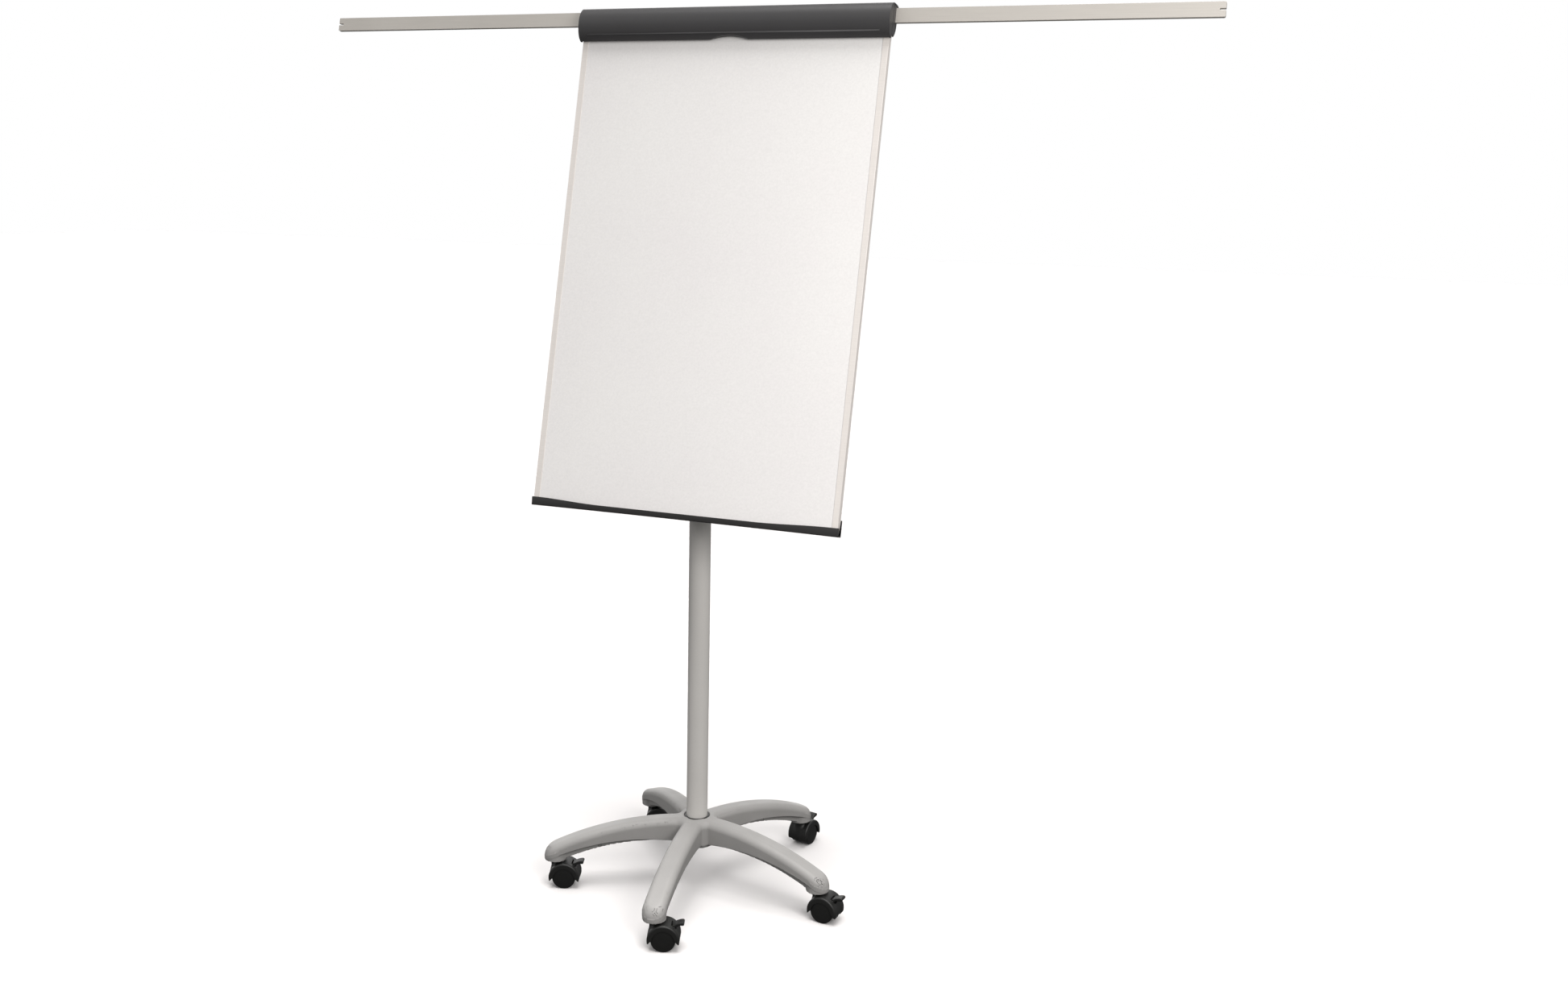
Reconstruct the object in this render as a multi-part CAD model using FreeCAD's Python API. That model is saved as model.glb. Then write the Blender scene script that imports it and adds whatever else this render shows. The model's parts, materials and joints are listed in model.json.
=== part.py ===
"""Mobile flip chart easel: five-leg castor base, telescopic mast, tilted writing board,
hinged pad clamp and two pull-out arms.  Millimetres, +Z up.

The origin is on the floor, on the mast's axis.  +X runs along the board's width and -Y is the side
that is written on.  Pieces that belong to the board are drawn upright in "board space" first: x along
the width, y = depth behind the writing face, z = distance up the board from the pen tray line.
on_board() then leans them back and lifts them to their place.
"""
import FreeCAD
import Part
import math
import os

V = FreeCAD.Vector

# ---------------------------------------------------------------- driving dimensions
# Base
LEG_COUNT = 5
LEG_START_ANGLE = 206.3          # plan direction of the first leg, degrees from +X
STEM_CIRCLE_RADIUS = 315.0       # mast axis to castor stem
LEG_TIP_RADIUS = 25.0            # rounded nose over each castor
LEG_ROOT_WIDTH = 47.0
LEG_WALL = 3.6
LEG_CROWN = 2.0                  # leg's back above the hub's top
NOSE_SHOULDER = 18.0             # start of the nose's curve, back from its end
NOSE_CHEEK_IN = 3.0
NOSE_CHEEK_DROP = 15.0
NOSE_CHIN = 6.0                  # upright part of the nose above its rim
CUP_RECESS = 3.0                 # floor of the nose's cup above its rim
SOCKET_BOSS_WALL = 5.5
SOCKET_WALL = 2.0
SOCKET_SHORT = 8.0               # steel sleeve shorter than the stem by this
STEM_FLANGE = 3.0
STEM_FLANGE_THICKNESS = 1.5
HUB_RISE = 94.0                  # hub's top above the underside of the legs' noses
HUB_RADIUS = 34.0
HUB_FOOT_RADIUS = 45.0
HUB_FOOT_RISE = 35.0
HUB_FLOOR = 8.0
HUB_FOOT_IN = 6.0                # chamfer round the hub's foot
HUB_FOOT_UP = 8.0
HUB_SHOULDER_DROP = 22.0         # start of the hub's rounded shoulder below its top
HUB_SHOULDER_OUT = 5.0
HUB_SHOULDER_RISE = 6.0
HUB_RIM_IN = 6.0
LEG_TOP_BULGE_RADIUS = 661.0     # large arc of the leg's back
LEG_TOP_CREST = 45.0             # distance from the mast at which that arc is level
LEG_UNDER_RADIUS = 627.0
LEG_UNDER_CREST = 93.0
LEG_UNDER_RISE = 47.6
KEEL_UNDER_RADIUS = 510.0        # lower edge of the two keel ribs inside a leg
KEEL_UNDER_CREST = 96.0
KEEL_UNDER_RISE = 44.1
KEEL_THICKNESS = 3.0
KEEL_PLACE = 12.5                # middle of a keel rib from the leg's middle plane
BASE_COLLAR_WALL = 3.5
BASE_COLLAR_HEIGHT = 3.0
BASE_COLLAR_CHAMFER = 1.0

# Castors
WHEEL_DIAMETER = 52.0
WHEEL_WIDTH = 17.0
CASTOR_TRAIL = 20.0
CASTOR_WEB = 11.0                # middle wall between the two wheels
AXLE_DIAMETER = 6.0
STEM_DIAMETER = 11.0
STEM_LENGTH = 38.0
HOOD_OVER_WHEEL = 8.0            # hood's outside past the wheel's tread
HOOD_UNDER_LEG = 4.0             # gap between a hood's crown and the leg's nose
HOOD_SHELL = 3.2
HOOD_SIDE_WALL = 1.6
HOOD_WHEEL_ROOM = 2.0            # hood's inside past the wheel's tread
HOOD_SKIRT = 4.0                 # hood's lower edge below the axle
HOOD_WEB_SKIRT = 8.0
HOOD_WINDOW_IN = 3.0             # side window inside the wheel's edge
HOOD_WINDOW_DROP = 2.0
HOOD_BOSS_WALL = 3.5
HOOD_BOSS_FLOOR = 3.0            # hood under the stem's end, over the axle
HOOD_BOSS_GAP = 0.6              # hood's boss below the stem's flange
AXLE_END_GAP = 1.5
WHEEL_CROWN = 3.0
LEVER_WIDTH = 20.0
LEVER_REACH = 19.0
LEVER_THICKNESS = 8.0
LEVER_PIN_DIAMETER = 2.5
LEVER_REST_ANGLE = 16.0          # tongue above level, brake off
LEVER_PRESS_ANGLE = 18.0
LEVER_PIVOT_ANGLE = 50.0         # place of the lever's pin on the hood, above level
LEVER_PIVOT_IN = 1.0
LEVER_TONGUE_SHARE = 0.7         # tongue's thickness as a share of the barrel's
LEVER_TIP_SHARE = 1.2
LEVER_EAR = 3.0
CASTOR_HEADINGS = {              # plan direction in which each castor trails, degrees from +X
    "castor_left": 20.0,
    "castor_front": 20.0,
    "castor_right": -5.0,
    "castor_back_right": 78.0,
    "castor_back_left": 15.0,
}

# Mast
OUTER_TUBE_DIAMETER = 47.0
OUTER_TUBE_WALL = 1.5
INNER_TUBE_DIAMETER = 41.0
INNER_TUBE_WALL = 1.5
INNER_TUBE_OVERLAP = 210.0       # length of the inner tube that stands inside the outer one
KEY_WIDTH = 5.0
KEY_DEPTH = 0.9
COLLAR_RADIUS = 30.0
COLLAR_HEIGHT = 46.0
KNOB_DIAMETER = 48.0
KNOB_THICKNESS = 20.0
KNOB_STUD_DIAMETER = 8.0
COLLAR_RISE = 15.0               # collar's top above the pen tray line
COLLAR_LID = 3.0                 # collar past the end of the lower tube
COLLAR_ROUND = 2.5
COLLAR_BOSS_RADIUS = 13.0
COLLAR_BOSS_REACH = 8.0
KNOB_GAP = 2.0
KNOB_LOBES = 5
KNOB_LOBE_RADIUS = 7.5
KNOB_CORE_IN = 3.0
KNOB_SCOOP_RADIUS = 8.0
KNOB_SCOOP_OUT = 1.5
KNOB_NECK_RADIUS = 11.0
KNOB_FACE = 5.0                  # plastic over the stud's end
STUD_SHORT = 0.35                # stud just short of the inner tube
KEY_GAP = 0.25
BUSH_RIB_ROOT = 0.5
MAST_FOOT_HEIGHT = 20.0
MAST_BOLT_SHORT = 2.0
MAST_BOLT_HEAD = 7.5
MAST_BOLT_CORNERS = 1.58         # across the head's corners, in bolt diameters
WASHER_THICKNESS = 2.5
WASHER_RIM = 2.0
GLIDE_SKIRT = 25.0
GLIDE_FLOOR = 3.0
TUBE_CAP_STEM = 10.0
TUBE_CAP_LID = 2.5

# Board
BOARD_WIDTH = 700.0
BOARD_CLEAR_HEIGHT = 1010.0      # pen tray line to head rail
BOARD_LEAN = 13.4                # degrees back from upright
TRAY_LINE_HEIGHT = 880.0         # pen tray line above the floor
TRAY_LINE_FORWARD = 102.7        # pen tray line in front of the mast axis
CORE_THICKNESS = 11.0
SHEET_THICKNESS = 0.5
BOARD_TUCK = 12.0                # board below the pen tray line
PROFILE_FACE = 13.0
PROFILE_WALL = 1.3
PROFILE_ROUND = 0.9

# Pen tray
TRAY_OVERHANG = 2.5              # tray past the board at each end
TRAY_DEPTH = 42.0                # lip in front of the writing face at mid length
TRAY_END_DEPTH = 5.0
TRAY_WALL = 2.6
TRAY_END_HEIGHT = 18.5
TRAY_LIP_DROP = 5.3              # lip below the pen tray line
TRAY_END_LENGTH = 118.0          # tall part of the lip at each end, with its curve
TRAY_BELLY = 2.5                 # rise of the underside at mid length
TRAY_FLOOR = 5.5
TRAY_FLANGE_HEIGHT = 16.0        # flange behind the board, above the pen tray line
TRAY_RISE_SHARE = 0.55           # share of the tall end over which the lip comes down
TRAY_RISE_KNEE = 20.0
TRAY_KNEE_SHARE = 0.75
TRAY_RISE_TOE = 15.0

# Head
ARM_HEIGHT = 30.0
ARM_THICKNESS = 8.0
ARM_SHOWN = 650.0                # arm past the head's end cap, drawn fully out
ARM_GUIDED = 58.0                # arm left inside the rail when it is fully out
ARM_NOTCH_LENGTH = 12.0
ARM_NOTCH_HEIGHT = 3.5
ARM_CORNER = 3.0
ARM_LANE_CLEARANCE = 0.4
ARM_SLOT_GAP = 0.25              # end cap's slot around the arm
ARM_SHOE_GAP = 0.1               # shoe inside its lane
ARM_SHOE_SHORT = 0.4
RAIL_WALL = 2.0
RAIL_FACE = 1.0                  # extra thickness in front of the front lane
RAIL_ROOM_NEAR = 9.0             # front of the hollow behind the peg track
RAIL_FLANGE = 24.0               # flange behind the board, below the rail
RAIL_PEG_CHAMBER = 24.0
PEG_DIAMETER = 8.0
PEG_PROJECTION = 10.0
PEG_CHAMFER = 1.0
PEG_SPACING = 280.0
PEG_HEIGHT = 14.0                # peg above the rail's lower edge
PEG_HEAD_RIM = 3.0
PEG_TRACK_DEPTH = 5.0
PEG_TRACK_GAP = 0.5
PEG_HEAD_GAP = 0.3
PEG_NECK_DIAMETER = 7.0          # part of the peg inside the rail's track
PEG_SHOULDER = 0.5               # gap between the pin and the writing face
END_CAP_THICKNESS = 4.0
END_CAP_DROP = 2.0
END_CAP_BEND = 6.0
END_CAP_HEEL = 1.5
END_CAP_HEEL_OUT = 8.0
END_CAP_HEEL_UP = 9.0
COVER_WALL = 2.8
COVER_FRONT = 24.0               # cover's bulge in front of the writing face
COVER_LIP_DEPTH = 14.0
COVER_LIP_DROP = 11.0            # lip below the rail's lower edge
COVER_TOP_GAP = 1.2
COVER_BULGE_HEIGHT = 30.0        # cover's foremost line above its lip
COVER_CROWN_DEPTH = 4.0          # front edge of the flat top, in front of the writing face
COVER_BEND = 6.0
COVER_LIP_OUT = 4.0
COVER_BELLY_OUT = 8.0
COVER_BELLY_RISE = 12.0
COVER_SHOULDER_IN = 8.0
COVER_SHOULDER_DROP = 14.0
COVER_END_WALL = 3.0
COVER_LIP_CLEAR = 9.0            # height over which only the lip's own wall is left
COVER_LIP_WALL = 1.2
COVER_FACE_GAP = 3.0             # cover's inside in front of the writing face
COVER_RIB = 2.5
GRIP_LEVEL = 10.0                # inner rib above the lip
GRIP_FRONT = 5.0                 # rubber grip's front, in front of the writing face
GRIP_BACK = 1.0
GRIP_BELOW = 1.0
GRIP_ABOVE = 3.5
GRIP_END_GAP = 4.0
COVER_NOTCH_WIDTH = 85.0
COVER_NOTCH_HEIGHT = 7.0
HINGE_PIN_DIAMETER = 3.0
HINGE_BARREL_RADIUS = 3.8
HINGE_BARREL_GAP = 0.3
HINGE_DROP = 8.0                 # hinge line below the rail's top
HINGE_STATIONS = (-250.0, 0.0, 250.0)
HINGE_KNUCKLE = 22.0
COVER_KNUCKLE = 14.0
KNUCKLE_GAP = 0.4
KNUCKLE_ROOM = 2.0               # cover cut away above the hinge line round the rail's knuckles
SPRING_LENGTH = 18.0
SPRING_RADIUS = 3.4
SPRING_WIRE = 1.0
SPRING_GAP = 0.3
SPRING_LEG_DOWN = 16.0
SPRING_LEG_OVER = 14.0

# Clearances and hardware
RUNNING_GAP = 0.08               # radial gap of a running fit
MOVING_GAP = 0.6                 # gap between faces that pass each other
BUSH_LENGTH = 60.0
SPINE_WIDTH = 70.0
SPINE_DEPTH = 14.0
SPINE_WALL = 2.0
BRACKET_PLATE = 3.0
BRACKET_HEIGHT = 100.0
SCREW_DIAMETER = 4.0
SCREW_HEAD = 2.2
BRACKET_BOLT_DIAMETER = 8.0
BRACKET_BOLT_INSET = 22.0
BRACKET_BOLT_HEAD = 5.0
BRACKET_BOLT_NUT = 6.5
BRACKET_BOLT_END = 9.0
BRACKET_BOLT_HEAD_SHARE = 1.7    # head's radius in bolt radii
BRACKET_TUBE_GAP = 0.2
BRACKET_SPINE_GAP = 6.0          # spine in front of the inner tube at the bracket's top
BRACKET_TOP_IN = 4.0
BRACKET_FOOT_IN = 4.0
BRACKET_WING = 20.0
BRACKET_HEEL = 20.0
BRACKET_SCREW_END = 14.0
BRACKET_SCREW_SIDE = 6.0
SPINE_FOOT = 40.0
SPINE_TOP_GAP = 32.0
SPINE_FLANGE = 18.0
SPINE_SCREW_FOOT = 90.0
SPINE_SCREW_ROWS = 4
SPINE_SCREW_END = 120.0
SPINE_SCREW_GRIP = 9.0
EDGE_SCREW_GRIP = 8.0
EDGE_SCREW_SHARES = (-0.8, -0.3, 0.3, 0.8)
TRAY_SCREW_LEVEL = 8.0
RAIL_SCREW_DROP = 12.0
MAST_BOLT_DIAMETER = 12.0
MAST_BOLT_GAP = 0.5
BEYOND = 9999.0                  # past every piece, for cuts that go right through

# ---------------------------------------------------------------- derived places
AXLE_HEIGHT = WHEEL_DIAMETER / 2
HOOD_RADIUS = WHEEL_DIAMETER / 2 + HOOD_OVER_WHEEL
SOCKET_RIM_HEIGHT = AXLE_HEIGHT + HOOD_RADIUS + HOOD_UNDER_LEG
HUB_TOP_HEIGHT = SOCKET_RIM_HEIGHT + HUB_RISE
HUB_FOOT_HEIGHT = SOCKET_RIM_HEIGHT + HUB_FOOT_RISE
LEG_UNDER_HEIGHT = SOCKET_RIM_HEIGHT + LEG_UNDER_RISE
KEEL_UNDER_HEIGHT = SOCKET_RIM_HEIGHT + KEEL_UNDER_RISE
BOARD_THICKNESS = CORE_THICKNESS + 2 * SHEET_THICKNESS
HALF_BOARD = BOARD_WIDTH / 2
RAIL_FOOT = BOARD_CLEAR_HEIGHT
LANE_WIDTH = ARM_THICKNESS + 2 * ARM_LANE_CLEARANCE
LANE_HEIGHT = ARM_HEIGHT + 2 * ARM_LANE_CLEARANCE
LANE_FOOT = RAIL_FOOT + RAIL_PEG_CHAMBER + RAIL_WALL
ARM_MID = LANE_FOOT + LANE_HEIGHT / 2
RAIL_TOP = LANE_FOOT + LANE_HEIGHT + RAIL_WALL
FRONT_LANE = RAIL_WALL + RAIL_FACE
REAR_LANE = FRONT_LANE + LANE_WIDTH + RAIL_WALL
RAIL_DEPTH = REAR_LANE + LANE_WIDTH + RAIL_WALL
HEAD_END = HALF_BOARD + END_CAP_THICKNESS
ARM_TIP = HEAD_END + ARM_SHOWN
ARM_LENGTH = ARM_SHOWN + END_CAP_THICKNESS + ARM_GUIDED
ARM_SHOE_LENGTH = ARM_GUIDED - ARM_SHOE_SHORT
PEG_LEVEL = RAIL_FOOT + PEG_HEIGHT
HINGE_DEPTH = RAIL_DEPTH + HINGE_BARREL_RADIUS + HINGE_BARREL_GAP
HINGE_LEVEL = RAIL_TOP - HINGE_DROP
COVER_TOP = RAIL_TOP + COVER_TOP_GAP + COVER_WALL
COVER_LIP = RAIL_FOOT - COVER_LIP_DROP
TUBE_FOOT = HUB_FOOT_HEIGHT + HUB_FLOOR
COLLAR_TOP = TRAY_LINE_HEIGHT + COLLAR_RISE
OUTER_TUBE_TOP = COLLAR_TOP - COLLAR_LID
INNER_TUBE_FOOT = OUTER_TUBE_TOP - INNER_TUBE_OVERLAP
OUTER_BORE_RADIUS = OUTER_TUBE_DIAMETER / 2 - OUTER_TUBE_WALL
INNER_RADIUS = INNER_TUBE_DIAMETER / 2
LEAN = math.radians(BOARD_LEAN)
SPINE_BACK = BOARD_THICKNESS + SPINE_DEPTH
GRIP_RIB_FOOT = COVER_LIP + GRIP_LEVEL
CUP_HEEL = STEM_CIRCLE_RADIUS - LEG_TIP_RADIUS


# ---------------------------------------------------------------- helpers
def box(x0, x1, y0, y1, z0, z1):
    """Block between two corners."""
    return Part.makeBox(x1 - x0, y1 - y0, z1 - z0, V(x0, y0, z0))


def rod(radius, start, end):
    """Solid cylinder from start to end."""
    along = end.sub(start)
    return Part.makeCylinder(radius, along.Length, start, along)


def tube(outer, inner, start, end):
    """Hollow cylinder from start to end."""
    return rod(outer, start, end).cut(rod(inner, start, end))


def outline(edges):
    """Face inside a closed outline. An edge is (p, q), or (p, through, q) for an arc."""
    parts = []
    for edge in edges:
        if len(edge) == 2:
            parts.append(Part.LineSegment(edge[0], edge[1]).toShape())
        else:
            parts.append(Part.Arc(edge[0], edge[1], edge[2]).toShape())
    return Part.Face(Part.Wire(Part.__sortEdges__(parts)))


def polygon(points):
    """Face inside straight lines through the points."""
    return Part.Face(Part.makePolygon(list(points) + [points[0]]))


def fuse(shapes):
    """One solid from several that touch or overlap."""
    first = shapes[0]
    joined = first.fuse(list(shapes[1:])) if len(shapes) > 1 else first
    return joined.removeSplitter()


def group(shapes):
    """Several separate solids kept as one node."""
    return Part.makeCompound(list(shapes))


def turned(shape, angle, centre=V(0, 0, 0), axis=V(0, 0, 1)):
    """Copy of a shape turned about an axis, in degrees."""
    copy = shape.copy()
    copy.rotate(centre, axis, angle)
    return copy


def moved(shape, x=0.0, y=0.0, z=0.0):
    """Copy of a shape moved by a distance."""
    copy = shape.copy()
    copy.translate(V(x, y, z))
    return copy


def mirrored(shape):
    """Copy of a shape on the other side of the plane x = 0."""
    return shape.mirror(V(0, 0, 0), V(1, 0, 0))


def on_board(shape):
    """Lean a board-space shape back and lift it to its place."""
    leaned = turned(shape, -BOARD_LEAN, axis=V(1, 0, 0))
    return moved(leaned, y=-TRAY_LINE_FORWARD, z=TRAY_LINE_HEIGHT)


def board_point(x, depth, height):
    """Where a board-space point ends up."""
    y = depth * math.cos(LEAN) + height * math.sin(LEAN) - TRAY_LINE_FORWARD
    z = height * math.cos(LEAN) - depth * math.sin(LEAN) + TRAY_LINE_HEIGHT
    return V(x, y, z)


def circle_height(x, crest, radius, top):
    """Height of an arc of large radius that is level at x = crest."""
    return top - radius + math.sqrt(radius ** 2 - (x - crest) ** 2)


def arc_between(x0, x1, height_at):
    """Arc in the x-z plane through three points of a height function."""
    middle = (x0 + x1) / 2
    return tuple(V(x, 0, height_at(x)) for x in (x0, middle, x1))


# ---------------------------------------------------------------- base
def leg_back(x):
    """Height of a leg's back at a distance from the mast axis."""
    return circle_height(x, LEG_TOP_CREST, LEG_TOP_BULGE_RADIUS, HUB_TOP_HEIGHT + LEG_CROWN)


def leg_under(x):
    """Height of the lower edge of a leg's side walls."""
    return circle_height(x, LEG_UNDER_CREST, LEG_UNDER_RADIUS, LEG_UNDER_HEIGHT)


def keel_under(x):
    """Height of the lower edge of a leg's keel ribs."""
    return circle_height(x, KEEL_UNDER_CREST, KEEL_UNDER_RADIUS, KEEL_UNDER_HEIGHT)


def leg_side(inset):
    """Side view of a leg along +X, drawn in by the inset and left open below for the hollow."""
    nose = STEM_CIRCLE_RADIUS + LEG_TIP_RADIUS - inset
    shoulder = nose - NOSE_SHOULDER + inset / 2
    top = arc_between(0.0, shoulder, lambda x: leg_back(x) - inset)
    cheek = V(nose - NOSE_CHEEK_IN, 0, top[2].z - NOSE_CHEEK_DROP)
    chin = V(nose, 0, SOCKET_RIM_HEIGHT + NOSE_CHIN)
    if inset:
        low = SOCKET_RIM_HEIGHT - inset
        edges = [top, (top[2], cheek, chin), (chin, V(nose, 0, low))]
        edges += [(V(nose, 0, low), V(0, 0, low)), (V(0, 0, low), top[0])]
        return outline(edges)
    belly = arc_between(0.0, STEM_CIRCLE_RADIUS, leg_under)
    rim_out = V(nose, 0, SOCKET_RIM_HEIGHT)
    rim_in = V(STEM_CIRCLE_RADIUS, 0, SOCKET_RIM_HEIGHT)
    edges = [top, (top[2], cheek, chin), (chin, rim_out), (rim_out, rim_in)]
    edges += [(rim_in, belly[2]), belly, (belly[0], top[0])]
    return outline(edges)


def leg_plan(inset):
    """Plan view of a leg along +X, with a round nose about the stem."""
    root = LEG_ROOT_WIDTH / 2 - inset
    tip = LEG_TIP_RADIUS - inset
    far = STEM_CIRCLE_RADIUS
    corners = [V(0, -root, 0), V(far, -tip, 0), V(far, tip, 0), V(0, root, 0)]
    nose = (corners[1], V(far + tip, 0, 0), corners[2])
    sides = [(corners[0], corners[1]), nose, (corners[2], corners[3]), (corners[3], corners[0])]
    return outline(sides)


def leg_block(inset):
    """Solid where a leg's side view and plan view meet."""
    wide = 2 * LEG_TIP_RADIUS
    side = moved(leg_side(inset), y=-wide).extrude(V(0, 2 * wide, 0))
    plan = leg_plan(inset).extrude(V(0, 0, 2 * HUB_TOP_HEIGHT))
    return side.common(plan)


def long_top_edges(shape):
    """The two long edges that run along a leg's back."""
    found = []
    for edge in shape.Edges:
        room = edge.BoundBox
        if room.XLength > STEM_CIRCLE_RADIUS / 2 and room.ZMax > HUB_TOP_HEIGHT - 5.0:
            if room.YMin > 5.0 or room.YMax < -5.0:
                found.append(edge)
    return found


def keel_rib(side):
    """One of the two long ribs inside a leg, which reach a little below its side walls."""
    root = HUB_FOOT_RADIUS - LEG_WALL
    tip = CUP_HEEL + LEG_WALL
    upper = arc_between(root, tip, lambda x: leg_back(x) - LEG_WALL / 2)
    lower = arc_between(root, tip, keel_under)
    face = outline([upper, (upper[2], lower[2]), lower, (lower[0], upper[0])])
    near = side * KEEL_PLACE - KEEL_THICKNESS / 2
    return moved(face, y=near).extrude(V(0, KEEL_THICKNESS, 0))


def nose_cup(body):
    """Round wall and recessed floor of the cup under a leg's nose, inside the leg's outer shape."""
    foot = V(STEM_CIRCLE_RADIUS, 0, SOCKET_RIM_HEIGHT)
    high = V(STEM_CIRCLE_RADIUS, 0, leg_under(CUP_HEEL))
    outer = rod(LEG_TIP_RADIUS, foot, high)
    room = LEG_TIP_RADIUS - LEG_WALL
    wall = tube(LEG_TIP_RADIUS, room, foot, V(STEM_CIRCLE_RADIUS, 0, 2 * HUB_TOP_HEIGHT))
    floor_foot = foot.add(V(0, 0, CUP_RECESS))
    floor = rod(room + LEG_WALL / 2, floor_foot, floor_foot.add(V(0, 0, LEG_WALL)))
    boss = rod(STEM_DIAMETER / 2 + SOCKET_BOSS_WALL, foot, V(STEM_CIRCLE_RADIUS, 0, 2 * HUB_TOP_HEIGHT))
    return fuse([wall, floor, boss]).common(fuse([body, outer]))


def make_leg():
    """One leg: rounded back, hollow below with two keel ribs, and a round cup over the castor."""
    body = leg_block(0.0)
    body = body.makeFillet(LEG_ROOT_WIDTH / 4, long_top_edges(body))
    hollow = leg_block(LEG_WALL)
    hollow = hollow.cut(rod(HUB_FOOT_RADIUS - LEG_WALL, V(0, 0, 0), V(0, 0, 2 * HUB_TOP_HEIGHT)))
    return fuse([body.cut(hollow), nose_cup(body), keel_rib(-1), keel_rib(1)])


def socket_radius():
    """Outside radius of the steel sleeve in each leg."""
    return STEM_DIAMETER / 2 + SOCKET_WALL


def socket_top():
    """Upper end of the steel sleeve and of its hole."""
    return SOCKET_RIM_HEIGHT + STEM_LENGTH - SOCKET_SHORT


def make_star_base():
    """Moulded hub and five legs."""
    foot = HUB_FOOT_HEIGHT
    top = HUB_TOP_HEIGHT
    wide = HUB_FOOT_RADIUS
    mouth = HUB_RADIUS - HUB_RIM_IN
    shoulder = V(wide, 0, top - HUB_SHOULDER_DROP)
    crown = V(HUB_RADIUS + HUB_SHOULDER_OUT, 0, top - HUB_SHOULDER_RISE)
    hub_side = [
        (V(0, 0, foot), V(wide - HUB_FOOT_IN, 0, foot)),
        (V(wide - HUB_FOOT_IN, 0, foot), V(wide, 0, foot + HUB_FOOT_UP)),
        (V(wide, 0, foot + HUB_FOOT_UP), shoulder),
        (shoulder, crown, V(mouth, 0, top)),
        (V(mouth, 0, top), V(0, 0, top)),
        (V(0, 0, top), V(0, 0, foot)),
    ]
    hub = outline(hub_side).revolve(V(0, 0, 0), V(0, 0, 1), 360)
    leg = make_leg()
    above = rod(mouth, V(0, 0, top), V(0, 0, 2 * top))
    legs = [turned(leg, angle) for angle in leg_angles()]
    base = fuse([hub] + legs).cut(above)
    base = base.cut(rod(OUTER_TUBE_DIAMETER / 2, V(0, 0, TUBE_FOOT), V(0, 0, 2 * top)))
    bolt_hole = MAST_BOLT_DIAMETER / 2 + MAST_BOLT_GAP
    base = base.cut(rod(bolt_hole, V(0, 0, 0), V(0, 0, TUBE_FOOT)))
    for place in stem_places():
        sleeve = rod(socket_radius(), V(place.x, place.y, 0), V(place.x, place.y, socket_top()))
        base = base.cut(sleeve)
    return base


def leg_angles():
    """Plan direction of each leg, in degrees."""
    return [LEG_START_ANGLE + 360.0 / LEG_COUNT * i for i in range(LEG_COUNT)]


def stem_places():
    """Foot of each castor stem's axis on the floor."""
    places = []
    for angle in leg_angles():
        turn = math.radians(angle)
        places.append(V(STEM_CIRCLE_RADIUS * math.cos(turn), STEM_CIRCLE_RADIUS * math.sin(turn), 0))
    return places


def make_sockets():
    """Steel sleeves pressed into the legs."""
    sleeve = tube(socket_radius(), STEM_DIAMETER / 2, V(0, 0, SOCKET_RIM_HEIGHT), V(0, 0, socket_top()))
    return group([moved(sleeve, place.x, place.y) for place in stem_places()])


def make_stems():
    """Castor stems: pressed into the sleeves, each with a shoulder that the hood turns under."""
    mouth = SOCKET_RIM_HEIGHT
    stem = rod(STEM_DIAMETER / 2, V(0, 0, hood_boss_foot()), V(0, 0, socket_top() - MOVING_GAP))
    flange = rod(STEM_DIAMETER / 2 + STEM_FLANGE, V(0, 0, mouth - STEM_FLANGE_THICKNESS), V(0, 0, mouth))
    stem = fuse([stem, flange])
    return group([moved(stem, place.x, place.y) for place in stem_places()])


def make_base_collar():
    """Dark ring where the mast enters the hub."""
    outer = OUTER_TUBE_DIAMETER / 2 + BASE_COLLAR_WALL
    top = HUB_TOP_HEIGHT + BASE_COLLAR_HEIGHT
    ring = tube(outer, OUTER_TUBE_DIAMETER / 2, V(0, 0, HUB_TOP_HEIGHT), V(0, 0, top))
    upper = [edge for edge in ring.Edges if edge.BoundBox.ZMin > top - BASE_COLLAR_HEIGHT / 2]
    widest = [edge for edge in upper if edge.BoundBox.XLength > 2 * outer - BASE_COLLAR_WALL]
    return ring.makeChamfer(BASE_COLLAR_CHAMFER, widest)


# ---------------------------------------------------------------- castors
def hood_boss_foot():
    """Lower end of the stem's hole in a hood."""
    return AXLE_HEIGHT + AXLE_DIAMETER / 2 + HOOD_BOSS_FLOOR


def wheel_gap_side():
    """Inner face of a wheel, measured from the castor's middle plane."""
    return CASTOR_WEB / 2 + MOVING_GAP


def hood_half_width():
    """Outer face of a hood's side wall."""
    return wheel_gap_side() + WHEEL_WIDTH + MOVING_GAP + HOOD_SIDE_WALL


def lever_pivot():
    """Centre of the brake lever's pin in a castor that trails along +X."""
    turn = math.radians(LEVER_PIVOT_ANGLE)
    reach = HOOD_RADIUS - LEVER_PIVOT_IN
    return V(CASTOR_TRAIL + reach * math.cos(turn), 0, AXLE_HEIGHT + reach * math.sin(turn))


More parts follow.
